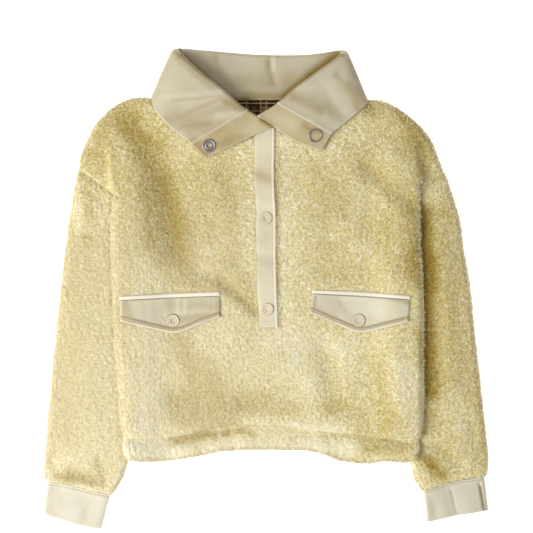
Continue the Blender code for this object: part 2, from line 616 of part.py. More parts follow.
def hem_band():
    """Band round the hem, which lies on each sleeve's edge at its two side folds."""
    start = np.array(HEM_SEAM, float) + (0.0, -SEAM - 0.3)
    end = np.array(HEM_EDGE, float)
    start[0] += (-1.4, 0)
    left = np.array([start[0], *LEFT_HEM_SIDE[1:3], end[0]])
    right = np.array([start[-1], *RIGHT_HEM_SIDE[1:3], end[-1]])

    def under(x, y):
        return OVER_SLEEVE_UNDER * np.maximum(
            smooth((line_x(LEFT_INNER, y) + 13 - x) / 11),
            smooth((x - line_x(RIGHT_INNER, y) + 13) / 11))

    def top(x, y):
        waves = [(-40, -156, -36, -176, -1.0, 7), (60, -160, 66, -182, 1.2, 8),
                 (100, -166, 112, -188, 1.4, 12), (140, -170, 146, -188, -1.2, 8),
                 (-110, -170, -80, -184, 1.2, 10), (-70, -160, -40, -160, -1.2, 6)]
        rise = 0.82 * under(x, y)
        return HEM_TOP + 1.3 * np.exp(-((y + 178) / 9) ** 2) + rise + folds(waves, x, y)

    flat_tube("hem_band", left, right, start, end, top, under, FLEECE, 5, 25, 6.0,
              "fleece", FLEECE_COLOUR)


# ---------------------------------------------------------------- collar

def collar_station(place):
    """The table's values at a place between its rows, as smooth curves through them."""
    table = np.asarray(COLLAR, float)
    places = np.arange(len(COLLAR), dtype=float)
    slope = np.gradient(table, places, axis=0)
    k = np.clip(np.floor(place).astype(int), 0, len(COLLAR) - 2)
    t = (place - k)[:, None]
    return ((2 * t**3 - 3 * t**2 + 1) * table[k] + (t**3 - 2 * t**2 + t) * slope[k]
            + (3 * t**2 - 2 * t**3) * table[k + 1] + (t**3 - t**2) * slope[k + 1])


def placket_rise(x, y):
    """How far the placket lifts what lies across it."""
    inside = smooth((x + 16) / 5) * smooth((16 - x) / 5)
    return 2.6 * inside * smooth((y - 120) / 10)


def collar_sheet(places, fall_steps=8, stand_steps=5, arc_steps=5):
    """Middle of the collar's cloth: from the neck seam up the stand, half a turn round the
    roll, and down the fall to its free edge, a section for each place along the neck."""
    row = collar_station(places)
    neck, roll, edge = row[:, 0:3], row[:, 3:6], row[:, 6:9]
    radius, turn = row[:, 9:10], np.radians(row[:, 10])
    inward = (neck + edge) / 2 - roll
    inward[:, 2] = 0
    inward /= np.linalg.norm(inward, axis=1)[:, None]
    outward = np.stack([-np.sin(turn), np.zeros(len(turn)), np.cos(turn)], axis=1)
    stand_end = roll + radius * (inward - outward)
    fall_start = roll + radius * (inward + outward)
    sections = []
    for t in np.linspace(0, 1, stand_steps)[:-1]:
        sections.append(neck + (stand_end - neck) * t)
    for a in np.linspace(-math.pi / 2, math.pi / 2, arc_steps):
        centre = roll + radius * inward
        sections.append(centre + radius * (math.sin(a) * outward - math.cos(a) * inward))
    for t in np.linspace(0, 1, fall_steps)[1:]:
        bulge = 1.2 * math.sin(math.pi * t) * outward * (0.5 + 0.5 * np.cos(turn))[:, None]
        sections.append(fall_start + (edge - fall_start) * t + bulge)
    sheet = np.stack(sections, axis=1)
    x, y, z = sheet[..., 0], sheet[..., 1], sheet[..., 2]
    step = np.arange(sheet.shape[1])[None, :]
    on_fall = step >= stand_steps - 1 + arc_steps
    front = on_fall & (np.cos(turn)[:, None] > 0.5)
    fading = smooth((step - stand_steps - arc_steps + 2) / 4)
    z = z + np.where(front, folds(COLLAR_FOLDS, x, y) * fading, 0)
    back = (step < stand_steps) & (np.cos(turn)[:, None] < -0.5)
    z = z + np.where(back, folds(STAND_FOLDS, x, y) * smooth(step / 2), 0)
    reach = (np.cos(turn)[:, None] > 0.2) & (step >= stand_steps)
    clear = front_top(x, y) + placket_rise(x, y) + REST + 0.3 + TWILL_DOUBLE / 2
    inside = y < 206
    sheet[..., 2] = np.where(reach & inside, np.maximum(z, clear), z)
    return sheet


def sheet_normals(sheet):
    """Unit normals of a grid of points."""
    du = np.gradient(sheet, axis=0)
    dv = np.gradient(sheet, axis=1)
    normal = np.cross(du, dv)
    return normal / np.maximum(np.linalg.norm(normal, axis=2)[..., None], 1e-9)


def collar_piece(name, places):
    """One length of the collar as a wall on both sides of its middle sheet."""
    sheet = collar_sheet(places)
    normal = sheet_normals(sheet) * TWILL_DOUBLE / 2
    top, under = (sheet + normal).reshape(-1, 3), (sheet - normal).reshape(-1, 3)
    rows, columns = sheet.shape[:2]
    points, faces = wall_between(top, under, grid_faces(rows, columns))
    return add_solid(name, points, faces, "twill", TWILL_COLOUR, 0.8)


def collar():
    """The collar and the band at each of its front ends."""
    seam = 0.03
    stretches = [(LEFT_BAND_STATION + seam, 3.4, 6), (3.4, 6.6, 15), (6.6, 9.4, 6),
                 (9.4, 12.6, 15), (12.6, RIGHT_BAND_STATION - seam, 6)]
    places = [np.linspace(first, last, count)[:-1] for first, last, count in stretches]
    collar_piece("collar", np.concatenate(places + [[RIGHT_BAND_STATION - seam]]))
    collar_piece("collar_end_left", np.linspace(0.0, LEFT_BAND_STATION, 5))
    collar_piece("collar_end_right", np.linspace(RIGHT_BAND_STATION, COLLAR_LAST, 5))


# ---------------------------------------------------------------- what lies on the front

def built_height(name):
    """Height of a built solid's top over plan points, in mm: the highest of the point itself
    and four beside it, so that a piece laid on it clears the edges of its faces."""
    mesh = bpy.data.objects[name].data
    tree = BVHTree.FromPolygons([v.co for v in mesh.vertices],
                                [tuple(p.vertices) for p in mesh.polygons])
    reach = 2.5

    def height(x, y):
        found = []
        for px, py in zip(np.ravel(x), np.ravel(y)):
            best = 0.0
            for dx, dy in ((0, 0), (reach, 0), (-reach, 0), (0, reach), (0, -reach)):
                start = Vector(((px + dx - BOX_MIDDLE[0]) * MM, (py + dy - BOX_MIDDLE[1]) * MM, 1.0))
                hit = tree.ray_cast(start, Vector((0, 0, -1)))[0]
                best = max(best, hit.z / MM if hit else 0.0)
            found.append(best)
        return np.reshape(found, np.shape(x))

    return height


def laid_piece(name, top_line, low_line, columns, rows, thickness, lift, look, colour):
    """Piece of twill between two lines, made from the front's points moved up."""
    across = np.linspace(0, 1, columns)
    upper = polyline(np.asarray(top_line, float), across)
    lower = polyline(np.asarray(low_line, float), across)
    v = np.linspace(0, 1, rows)[:, None, None]
    plan = (1 - v) * upper[None] + v * lower[None]
    x, y = plan[..., 0], plan[..., 1]
    raised = lift * np.linspace(0, 1, rows)[:, None] ** 2
    under = built_height("body_front")(x, y) + REST + raised
    top = np.stack([x, y, under + thickness], -1).reshape(-1, 3)
    under = np.stack([x, y, under], -1).reshape(-1, 3)
    points, faces = wall_between(top, under, grid_faces(rows, columns))
    return add_solid(name, points, faces, look, colour, 0.8)


def pockets():
    """A welt and a five-sided flap on each side."""
    for side, flap_top, flap_edge, welt_top, welt_edge in (
            ("left", LEFT_FLAP_TOP, LEFT_FLAP_EDGE, LEFT_WELT_TOP, LEFT_WELT_EDGE),
            ("right", RIGHT_FLAP_TOP, RIGHT_FLAP_EDGE, RIGHT_WELT_TOP, RIGHT_WELT_EDGE)):
        laid_piece(f"pocket_welt_{side}", welt_top, welt_edge, 12, 2, TWILL_DOUBLE, 0.0,
                   "twill", TWILL_COLOUR)
        laid_piece(f"pocket_flap_{side}", flap_top, flap_edge, 14, 6, 1.8, FLAP_LIFT,
                   "twill", TWILL_COLOUR)


def placket_under(x, y):
    """Underside of the placket band: on the front, its free right edge standing off."""
    table = np.asarray(PLACKET, float)[::-1]
    left = np.interp(y, table[:, 0], table[:, 1])
    right = np.interp(y, table[:, 0], table[:, 2])
    lift = np.interp(y, table[:, 0], table[:, 3])
    free = np.clip((x - left) / (right - left), 0, 1) ** 1.5
    return built_height("body_front")(x, y) + REST + lift * free


def placket_band():
    """The half placket's upper band."""
    rows, columns = 20, 4
    low, high = PLACKET[-1][0], PLACKET[0][0]
    y = np.linspace(high, low, rows)[:, None] * np.ones((1, columns))
    table = np.asarray(PLACKET, float)[::-1]
    left = np.interp(y, table[:, 0], table[:, 1])
    right = np.interp(y, table[:, 0], table[:, 2])
    x = left + (right - left) * np.linspace(0, 1, columns)[None, :]
    under = placket_under(x, y)
    top = np.stack([x, y, under + TWILL], -1).reshape(-1, 3)
    under = np.stack([x, y, under], -1).reshape(-1, 3)
    points, faces = wall_between(top, under, grid_faces(rows, columns))
    return add_solid("placket_band", points, faces, "twill", TWILL_COLOUR, 0.8)


def neck_lining():
    """Plaid cotton inside the back neck, seen between the collar's fronts."""
    top_line = [(-82, 206.4), (0, 206.4), (72, 206.4)]
    low_line = [(-80, 194), (-60, 189.5), (-33, 184.5), (0, 181), (30, 184), (52, 188.5), (70, 193)]
    across = np.linspace(0, 1, 14)
    upper = polyline(np.asarray(top_line, float), across)
    lower = polyline(np.asarray(low_line, float), across)
    v = np.linspace(0, 1, 4)[:, None, None]
    plan = ((1 - v) * upper[None] + v * lower[None]).reshape(-1, 2)
    z = np.full(len(plan), BACK_TOP + REST)
    top = np.column_stack([plan, z + 1.0])
    under = np.column_stack([plan, z])
    points, faces = wall_between(top, under, grid_faces(4, 14))
    return add_solid("neck_lining", points, faces, "plaid", PLAID_COLOUR, 0.85)


# ---------------------------------------------------------------- snaps

# Profiles of a snap from its inner edge out, columns radius as a share, height mm
PAINTED_RING = [(0.46, 0.0), (0.50, 1.2), (0.62, 1.2), (0.66, 0.6), (0.76, 0.6),
                (0.82, 1.5), (0.94, 1.4), (1.0, 0.0)]
OPEN_RING = [(0.66, 0.0), (0.66, 0.8), (0.72, 1.5), (0.86, 1.7), (0.96, 1.3), (1.0, 0.6), (1.0, 0.0)]
SOCKET_RING = [(0.22, 0.0), (0.24, 2.0), (0.34, 2.2), (0.48, 2.1), (0.58, 1.0), (0.70, 1.0),
               (0.78, 1.7), (0.94, 1.6), (1.0, 0.0)]


def snap(name, place, profile, height, colour, metallic):
    """Ring turned about its axis, set on the plane that fits the cloth under it."""
    x, y, radius = place
    angles = np.linspace(0, 2 * math.pi, 24, endpoint=False)
    px = np.concatenate([[x], x + radius * np.cos(angles), x + radius / 2 * np.cos(angles)])
    py = np.concatenate([[y], y + radius * np.sin(angles), y + radius / 2 * np.sin(angles)])
    pz = height(px, py)
    system = np.column_stack([np.ones(len(px)), px - x, py - y])
    fit = np.linalg.lstsq(system, pz, rcond=None)[0]
    seat = fit[0] + np.max(pz - system @ fit) + REST
    up = Vector((-fit[1], -fit[2], 1)).normalized()
    side = Vector((1, 0, fit[1])).normalized()
    other = up.cross(side)
    count = 16
    points, faces = [], []
    for k in range(count):
        a = 2 * math.pi * k / count
        outward = side * math.cos(a) + other * math.sin(a)
        for share, rise in profile:
            points.append(Vector((x, y, seat)) + outward * radius * share + up * rise)
    size = len(profile)
    for k in range(count):
        for i in range(size):
            j, n = (i + 1) % size, (k + 1) % count
            faces.append([k * size + i, n * size + i, n * size + j, k * size + j])
    return add_solid(name, [tuple(p) for p in points], faces, "ring", colour, 0.35, metallic)


def fall_height(x, y):
    """Top of the collar's fall at plan points, from the nearest points of its sheet."""
    sheet = collar_sheet(np.linspace(0, COLLAR_LAST, 260), fall_steps=60)
    fall = sheet[:, -56:, :].reshape(-1, 3)
    fall = fall[fall[:, 2] > 12]
    found = []
    for px, py in zip(np.ravel(x), np.ravel(y)):
        near = np.argsort((fall[:, 0] - px) ** 2 + (fall[:, 1] - py) ** 2)[:4]
        found.append(fall[near, 2].max())
    return np.asarray(found) + TWILL_DOUBLE / 2


def snaps():
    """The two collar snaps, two on the placket and one on each flap."""
    left_flap, right_flap = built_height("pocket_flap_left"), built_height("pocket_flap_right")
    band = built_height("placket_band")
    snap("snap_collar_left", SNAP_COLLAR_LEFT, SOCKET_RING, fall_height, METAL_COLOUR, 1.0)
    snap("snap_collar_right", SNAP_COLLAR_RIGHT, OPEN_RING, fall_height, METAL_COLOUR, 1.0)
    snap("snap_placket_upper", SNAP_PLACKET_UPPER, PAINTED_RING, band, PAINT_COLOUR, 0.0)
    snap("snap_placket_lower", SNAP_PLACKET_LOWER, PAINTED_RING, band, PAINT_COLOUR, 0.0)
    snap("snap_flap_left", SNAP_FLAP_LEFT, PAINTED_RING, left_flap, PAINT_COLOUR, 0.0)
    snap("snap_flap_right", SNAP_FLAP_RIGHT, PAINTED_RING, right_flap, PAINT_COLOUR, 0.0)


def main():
    for thing in list(bpy.data.objects):
        bpy.data.objects.remove(thing, do_unlink=True)
    body_front()
    body_back()
    sleeves()
    cuffs()
    hem_band()
    collar()
    placket_band()
    pockets()
    neck_lining()
    snaps()


main()
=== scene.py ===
"""Looks of a small child's sherpa fleece pullover, laid flat on its back.

Lengths in tables and functions are millimetres, in the plan of the cut: +X to the right as seen
from above, +Y to the collar, +Z up from the surface that the garment lies on.  Left and right are
those of that view.
"""
import math

import bpy
import numpy as np
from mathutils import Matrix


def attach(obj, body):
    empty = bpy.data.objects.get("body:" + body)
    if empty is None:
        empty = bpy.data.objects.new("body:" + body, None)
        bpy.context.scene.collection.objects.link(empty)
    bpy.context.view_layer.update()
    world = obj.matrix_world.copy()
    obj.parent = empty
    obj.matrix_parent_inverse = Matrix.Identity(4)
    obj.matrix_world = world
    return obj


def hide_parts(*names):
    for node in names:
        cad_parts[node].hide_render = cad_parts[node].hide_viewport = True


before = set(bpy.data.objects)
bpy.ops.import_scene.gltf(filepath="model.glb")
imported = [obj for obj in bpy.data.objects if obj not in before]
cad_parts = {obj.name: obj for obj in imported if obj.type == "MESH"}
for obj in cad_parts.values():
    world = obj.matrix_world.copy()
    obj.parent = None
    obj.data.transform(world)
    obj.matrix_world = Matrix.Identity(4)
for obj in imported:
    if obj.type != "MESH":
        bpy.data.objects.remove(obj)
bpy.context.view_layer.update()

# ======================================================================== front of the body
# The front is cut in one with the front shoulder caps, from butter-yellow sherpa fleece: a knit
# ground with a curly pile about 3 mm deep.  It is sewn to the sleeves and the hem band, lies on
# the back panel and the sleeves, and its side folds stand a little above the sleeves.
MM = 0.001
INNER_STEP = 4                 # points of an outer surface to one of its inner surface
BOX_MIDDLE = (0.5, -1.45)      # middle of the garment's box in the tables' x and y
FLEECE = 4.6                   # thickness of the fleece, backing and pile
REST = 0.4                     # gap between cloths that rest on each other
BACK_TOP = 5.0
SLEEVE_HIDDEN_TOP = 10.2       # top of a sleeve where the body lies on it
FRONT_UNDER = BACK_TOP + REST
OVER_SLEEVE_UNDER = SLEEVE_HIDDEN_TOP + 0.7
FRONT_LEVEL = 11.6             # top of the front where it lies level
SIDE_RISE = 8.0                # rise of the sides where they lie on the sleeves
FAR = 99.0                     # stands for an edge that has no effect

# Outline, columns x, y
LEFT_FOLD = [(-154.6, -164.5), (-159, -151), (-161, -128), (-163, -96), (-165.6, -58),
             (-168, -4), (-169.5, 30), (-170.5, 70), (-167, 103)]
RIGHT_FOLD = [(168.9, -167), (173, -150), (174.4, -125), (174.4, -88), (174.4, -36),
              (173, 15), (169.5, 45), (170.4, 75), (169, 113.5)]
LEFT_SHOULDER = [(-205, 131.5), (-204, 143.6), (-200.8, 152.4), (-196.4, 161.2), (-188, 178.8),
                 (-180, 187.6), (-171, 196.4), (-158, 204.5), (-146, 208.2), (-136, 209.4),
                 (-126, 207.5), (-119, 203)]
RIGHT_SHOULDER = [(194.2, 130.5), (189.8, 143.6), (186.5, 152.4), (183, 161.2), (176.6, 170),
                  (169, 178.8), (159, 187.6), (147, 196.4), (136, 202), (126, 205.6),
                  (116, 206.5), (109, 202)]
NECK_LEFT = [(-119, 203), (-108, 198), (-96, 194.5), (-66, 187.5), (-33, 181.5), (0, 178)]
NECK_RIGHT = [(109, 202), (100, 197.5), (86, 194), (60, 187.5), (30, 181), (0, 178)]
HEM_SEAM = [(-154.6, -164.5), (-139, -166.2), (-108, -166), (-82, -160.8), (-57.8, -154.6),
            (-27, -150.2), (20.4, -151.9), (56.7, -157.9), (104, -162.3), (137, -167.2),
            (168.9, -168)]
LEFT_INNER = [(-167, 103), (-160, 88), (-150, 66), (-142, 40), (-133, -3), (-134, -69),
              (-141, -135), (-149, -174), (-151.3, -190)]
RIGHT_INNER = [(169, 113.5), (162, 92), (152, 66), (145, 40), (137, -3), (139, -69),
               (147, -135), (156, -176), (159, -195.3)]

# Soft folds, columns x0, y0, x1, y1, height, half width
FRONT_FOLDS = [
    (-152, 186, -134, 158, -2.6, 12),      # hollow below the left shoulder point
    (-128, 150, -106, 75, -2.6, 15),       # long trough down the left chest
    (-104, 66, -98, 34, -1.6, 12),
    (-75, 20, -42, 6, -1.8, 7),
    (-44, 5, -8, -26, -2.6, 7),            # crease from the left flap to the placket
    (112, 131, 162, 92, -3.4, 10),         # pull from the right chest to the armhole
    (40, 118, 70, 55, -1.3, 14),
    (62, 17, 96, 10, -1.2, 8),             # hollow above the right flap
    (-100, -118, -20, -124, -1.5, 15),     # long hollow above the hem, left
    (-20, -124, 28, -116, -1.6, 13),
    (64, -62, 78, -128, -2.6, 12),         # hollow above the hem, right
    (130, -60, 150, -140, 2.2, 16),        # full ridge beside it
    (-30, -60, -62, -100, 1.4, 14),
    (146, 20, 168, 28, -2.0, 8),
    (-150, 25, -120, 35, 1.6, 14),
    (96, 60, 128, 30, 1.6, 16),
    (-60, 120, -30, 60, 1.6, 18),
    (10, -75, 45, -95, 1.3, 16),
]
# Wide soft painted shade on the front, where folds, edges and raised pieces keep the light off,
# and below zero painted light that makes it paler; columns as above
FRONT_SHADES = [
    (-180, 182, -174, 124, 0.42, 10),
    (-178, 196, -158, 198, 0.45, 8),
    (-160, 184, -154, 174, 0.75, 8),
    (-195, 150, -195, 136, 0.5, 7),
    (-152, 180, -132, 160, 0.9, 9),
    (-166, 130, -166, 106, 0.3, 5),
    (-134, 116, -128, 46, 0.55, 9),
    (-150, 130, -146, 100, 0.3, 8),
    (-121, 166, -116, 150, 0.6, 9),
    (-92, 44, -84, 4, 0.4, 12),
    (-96, 58, -96, 36, 0.9, 10),
    (-118, 92, -116, 22, 0.45, 8),
    (-102, 30, -94, 18, 0.5, 12),
    (-38, 90, -38, 20, 0.35, 7),
    (-18, 92, -18, 58, -0.3, 8),
    (-150, 190, -120, 128, 0.66, 15),
    (-114, 118, -97, 62, 0.78, 18),
    (-97, 62, -88, 30, 0.6, 14),
    (-154, 106, -156, -2, 0.28, 9),
    (-76, 124, -62, 56, 0.3, 15),
    (-100, 4, -46, 2, 0.42, 9),
    (-154, -32, -152, -38, 0.3, 7),
    (-158, -12, -159, -42, 0.4, 7),
    (-38, 22, -8, -20, 0.35, 8),
    (-60, 30, -54, 18, 0.3, 7),
    (-46, 6, -10, -24, 0.5, 7),
    (-96, -54, -84, -80, 0.4, 12),
    (-100, -120, -96, -146, 0.5, 9),
    (-66, -90, -50, -116, 0.36, 13),
    (-80, -92, -78, -146, 0.45, 12),
    (-40, -120, 4, -122, 0.3, 10),
    (-52, 124, -40, 84, 0.3, 16),
    (-60, -136, -4, -133, 0.42, 9),
    (-74, -154, -30, -151, 0.35, 7),
    (16, -136, 34, -138, 0.4, 8),
    (142, -108, 146, -132, 0.35, 7),
    (-62, -112, -56, -124, 0.5, 7),
    (-132, -56, -134, -110, -0.25, 10),
    (-129, -108, -132, -158, -0.7, 9),
    (-142, -154, -110, -158, -0.4, 8),
    (-153, -56, -153, -80, 0.2, 6),
    (-124, 20, -124, 0, -0.15, 8),
    (18, 182, 21, 162, -1.0, 10),
    (12.6, 138, 13.2, 84, 0.9, 1.8),
    (13.2, 30, 14, -10, 0.7, 1.6),
    (18, 130, 19, -50, -0.4, 9),
    (8, 172, 40, 166, -1.0, 11),
    (34, 158, 70, 156, -0.35, 12),
    (30, -46, 40, -96, -0.5, 16),
    (10, -58, 96, -66, -0.7, 12),
    (30, -156, 84, -160, -1.0, 10),
    (44, -92, 52, -118, -0.6, 13),
    (148, -88, 154, -130, -0.7, 12),
    (-30, -146, 66, -152, -0.3, 5),
    (78, -60, 88, -90, -0.4, 12),
    (57, 132, 66, 74, 0.25, 12),
    (76, 110, 82, 84, 0.3, 10),
    (56, 36, 108, 70, 0.12, 16),
    (112, 136, 150, 100, 0.4, 12),
    (84, 156, 100, 146, 0.3, 6),
    (156, 164, 158, 150, 0.5, 7),
    (84, -158, 130, -160, 0.3, 6),
    (120, 164, 142, 158, 0.14, 10),
    (140, 70, 126, 48, 0.3, 10),
    (134, 124, 138, 96, 0.4, 8),
    (150, 196, 174, 158, 0.6, 13),
    (131, 82, 139, 24, 0.25, 14),
    (171, 150, 171, 120, 0.95, 5),
    (166, 172, 171, 140, 0.6, 5),
    (168, 96, 170, 0, 0.5, 6),
    (170, -106, 170, -160, -0.45, 7),
    (172, -50, 173, -84, 0.6, 5),
    (127, -84, 132, -160, 0.35, 9),
    (136, -134, 140, -150, 0.5, 9),
    (60, -128, 92, -134, 0.4, 9),
    (60, 12, 110, 10, 0.25, 4),
    (64, 24, 106, 18, 0.25, 7),
    (166, 30, 167, 10, 0.8, 5),
    (104, 204, 118, 192, 0.7, 6),
    (160, 94, 161, 40, 0.65, 7),
    (160, 36, 163, 12, 0.9, 8),
    (162, -28, 163, -50, 0.2, 7),
    (66, -66, 78, -128, 0.15, 12),
]
# Plan areas that lie under twill, columns x low, x high, y low, y high: the pile is pressed there
PRESSED = [(-156, -54, -42, -9), (56, 155, -42, -8), (-8, 9, -42, 178)]
BESIDE_PLACKET = [(12.6, 130), (12.6, 90), (13.6, 10), (14, -8)]   # shaded by the free edge there


def smooth(t):
    """0 below 0, 1 above 1 and an S curve between."""
    t = np.clip(t, 0.0, 1.0)
    return t * t * (3.0 - 2.0 * t)


def chord(points):
    """Length along a polyline at each of its points."""
    return np.concatenate([[0.0], np.cumsum(np.linalg.norm(np.diff(points, axis=0), axis=1))])


def polyline(points, places):
    """Points at places from 0 to 1 along a polyline."""
    points = np.asarray(points, float)
    s = chord(points)
    at = np.asarray(places) * s[-1]
    return np.stack([np.interp(at, s, points[:, i]) for i in range(points.shape[1])], axis=1)


def softened(points, reach=5.0):
    """A polyline drawn again in small steps, each point the mean of its neighbours, ends kept."""
    spacing = 0.5
    fine = polyline(points, np.linspace(0, 1, int(chord(points)[-1] / spacing) + 2))
    wide = max(1, int(reach / spacing))
    before, after = fine[wide:0:-1], fine[-2:-wide - 2:-1]
    padded = np.concatenate([2 * fine[0] - before, fine, 2 * fine[-1] - after])
    window = np.hanning(2 * wide + 3)[1:-1]
    window /= window.sum()
    columns = [np.convolve(padded[:, i], window, "valid") for i in range(fine.shape[1])]
    return np.stack(columns, axis=1)


def coons(bottom, top, left, right, across, up):
    """Grid over a four-sided patch: each side's curve is blended across to its opposite, and
    what the corners add twice is taken off."""
    u, v = across[None, :, None], up[:, None, None]
    corners = ((1 - u) * (1 - v) * bottom[0] + u * (1 - v) * bottom[-1]
               + (1 - u) * v * top[0] + u * v * top[-1])
    return ((1 - v) * bottom[None] + v * top[None] + (1 - u) * left[:, None]
            + u * right[:, None] - corners)


def distance_to(line, x, y):
    """Distance of each plan point to a polyline: the least over its stretches."""
    line = np.asarray(line, float)
    best = np.full(np.shape(x), 1e9)
    for (ax, ay), (bx, by) in zip(line[:-1], line[1:]):
        dx, dy = bx - ax, by - ay
        t = np.clip(((x - ax) * dx + (y - ay) * dy) / max(dx * dx + dy * dy, 1e-9), 0, 1)
        best = np.minimum(best, np.hypot(x - ax - t * dx, y - ay - t * dy))
    return best


def folds(table, x, y):
    """Sum of soft troughs and ridges: each is a bell across its line, with fading ends."""
    z = np.zeros(np.shape(x))
    for x0, y0, x1, y1, height, half_width in table:
        dx, dy = x1 - x0, y1 - y0
        length = math.hypot(dx, dy)
        along = ((x - x0) * dx + (y - y0) * dy) / length
        across = ((y - y0) * dx - (x - x0) * dy) / length
        beyond = np.maximum(0, np.maximum(-along, along - length))
        z = z + height * np.exp(-(across / half_width) ** 2 - (beyond / half_width) ** 2)
    return z


def bell(distance, width):
    """1 at a line, falling to 0 in a bell about its half width."""
    return np.exp(-(distance / width) ** 2)


def shades(table, x, y):
    """Shades from 1 to -1 of a table in the form of the folds: where bells meet, the strongest of
    those that darken counts, and the strongest of those that lighten is taken off."""
    dark = light = np.zeros(np.shape(x))
    for row in table:
        bell_row = folds([row], x, y)
        dark, light = np.maximum(dark, bell_row), np.minimum(light, bell_row)
    return np.clip(dark + light, -1, 1)


def rubbed(x, y):
    """Share by which the pile's colour is painted paler, as painted light: little at the chest,
    more towards hem, cuffs and left.
    """
    return (0.42 * smooth((170 - y) / 170) * smooth((130 - x) / 240)
            + 0.12 * smooth((-190 - x) / 40) * smooth(-y / 120))


def rounding(distance, radius):
    """Quarter circle from 0 at an edge to 1 at a radius from it."""
    return np.sqrt(np.clip(1 - (1 - np.clip(distance / radius, 0, 1)) ** 2, 0, 1))


def line_x(table, y):
    """x of a line at the height y, for a table that runs down."""
    p = np.asarray(table, float)[::-1]
    return np.interp(y, p[:, 1], p[:, 0])


def over_sleeve(x, y):
    """1 where a sleeve lies under the body, 0 where the back panel does, S curve between."""
    left = smooth((line_x(LEFT_INNER, y) + 15 - x) / 13) * smooth((112 - y) / 6)
    right = smooth((x - line_x(RIGHT_INNER, y) + 15) / 13) * smooth((122 - y) / 6)
    return np.maximum(left, right)


def front_sheet(x, y):
    """Top of the front without its rounded edges: level cloth, the rise of its sides on the
    sleeves, which ends as a step at the fold beside each shoulder cap, and the soft folds."""
    left_fold = -167 - 4 * smooth((y - 104) / 60)
    right_fold = 168 - 6 * smooth((y - 114) / 44)
    left = smooth((-98 - x) / 56) * smooth((x - left_fold + 8) / 8) * smooth((176 - y) / 62)
    right = smooth((x - 112) / 36) * smooth((right_fold + 8 - x) / 8) * smooth((172 - y) / 56)
    chest = 1.6 * np.exp(-((x + 62) / 60) ** 2 - ((y - 60) / 90) ** 2)
    chest += 1.8 * np.exp(-((x - 84) / 60) ** 2 - ((y - 90) / 60) ** 2)
    belly = 1.8 * np.exp(-((x + 10) / 110) ** 2 - ((y + 90) / 60) ** 2)
    lip = 1.4 * np.exp(-((y + 152) / 9) ** 2)
    crease = folds(FRONT_FOLDS, x, y)
    return FRONT_LEVEL + SIDE_RISE * np.maximum(left, right) + chest + belly + lip + crease


def front_floor(x, y):
    """Lowest that the underside of the front may be: clear of the back panel or the sleeve."""
    return FRONT_UNDER + (OVER_SLEEVE_UNDER - FRONT_UNDER) * over_sleeve(x, y)


def front_top(x, y):
    """Top of the front with its edges rounded down."""
    caps = np.minimum(distance_to(LEFT_SHOULDER, x, y), distance_to(RIGHT_SHOULDER, x, y))
    sides = np.minimum(distance_to(LEFT_FOLD, x, y), distance_to(RIGHT_FOLD, x, y))
    low = front_floor(x, y)
    sides = np.where(low > FRONT_UNDER + 1, sides, FAR)
    seam = np.minimum(distance_to([LEFT_FOLD[-1], LEFT_SHOULDER[0]], x, y),
                      distance_to([RIGHT_FOLD[-1], RIGHT_SHOULDER[0]], x, y))
    hem = distance_to(HEM_SEAM, x, y)
    top = np.maximum(front_sheet(x, y), low + FLEECE)
    top = low + 0.9 + (top - low - 0.9) * rounding(caps, 9)
    top = low + 1.5 + (top - low - 1.5) * (0.78 + 0.22 * rounding(seam, 5))
    top = low + 1.5 + (top - low - 1.5) * (0.68 + 0.32 * rounding(hem, 6))
    return low + 3.6 + (top - low - 3.6) * rounding(sides, 8)


def front_under(x, y):
    """Underside of the front: a wall's thickness below its top, and never below its floor.
    At a side fold the wall is doubled by the cloth that turns under there."""
    sides = np.minimum(distance_to(LEFT_FOLD, x, y), distance_to(RIGHT_FOLD, x, y))
    over = over_sleeve(x, y)
    turned = 3.0 * over * smooth((22 - sides) / 14)
    under = np.maximum(front_floor(x, y), front_sheet(x, y) - FLEECE - turned)
    return np.minimum(under, front_top(x, y) - 1.2)


def chance(cell, seed):
    """Number from 0 to 1 for each whole-number cell: its places are multiplied by large primes,
    mixed bit by bit and divided by the largest whole number."""
    mixed = cell[..., 0] * 374761393 + cell[..., 1] * 668265263 + cell[..., 2] * 2147483647
    mixed = (mixed + seed * 1442695041) & 0xFFFFFFFF
    mixed = ((mixed ^ (mixed >> 13)) * 1274126177) & 0xFFFFFFFF
    return (mixed ^ (mixed >> 16)) / 4294967295.0


def waves(points, size, seed):
    """Smooth random field from 0 to 1: chance values at cell corners, blended by S curves."""
    at = points / size
    base = np.floor(at).astype(np.int64)
    t = at - base
    t = t * t * (3 - 2 * t)
    total = 0.0
    for i in (0, 1):
        for j in (0, 1):
            for k in (0, 1):
                weight = (np.abs(1 - i - t[..., 0]) * np.abs(1 - j - t[..., 1])
                          * np.abs(1 - k - t[..., 2]))
                total = total + weight * chance(base + (i, j, k), seed)
    return total


def nubs(points, size, seed):
    """Domes from 0 to 1 round scattered centres, one to a cell, 1 at a centre and 0 between
    them: one minus the squared distance to the nearest centre, in cells."""
    at = points / size
    base = np.floor(at).astype(np.int64)
    nearest = np.full(points.shape[:-1], 9.0)
    for i in (-1, 0, 1):
        for j in (-1, 0, 1):
            for k in (-1, 0, 1):
                cell = base + (i, j, k)
                centre = np.stack([chance(cell, seed + n) for n in (0, 1, 2)], axis=-1)
                gap = cell + 0.15 + 0.7 * centre - at
                nearest = np.minimum(nearest, (gap * gap).sum(axis=-1))
    return np.clip(1 - nearest / 0.62, 0, 1)


def curly_pile(points):
    """Height of the pile from 0 to 1: locks 3.8 mm apart whose outlines are bent by a fine wave
    field, and smaller ones between them."""
    bend = np.stack([waves(points, 3.1, seed) - 0.5 for seed in (11, 12, 13)], axis=-1)
    lock = nubs(points + 2.2 * bend, 3.8, 21)
    small = nubs(points + 1.6 * bend, 2.6, 31)
    return np.clip(0.55 * lock + 0.45 * small, 0, 1)


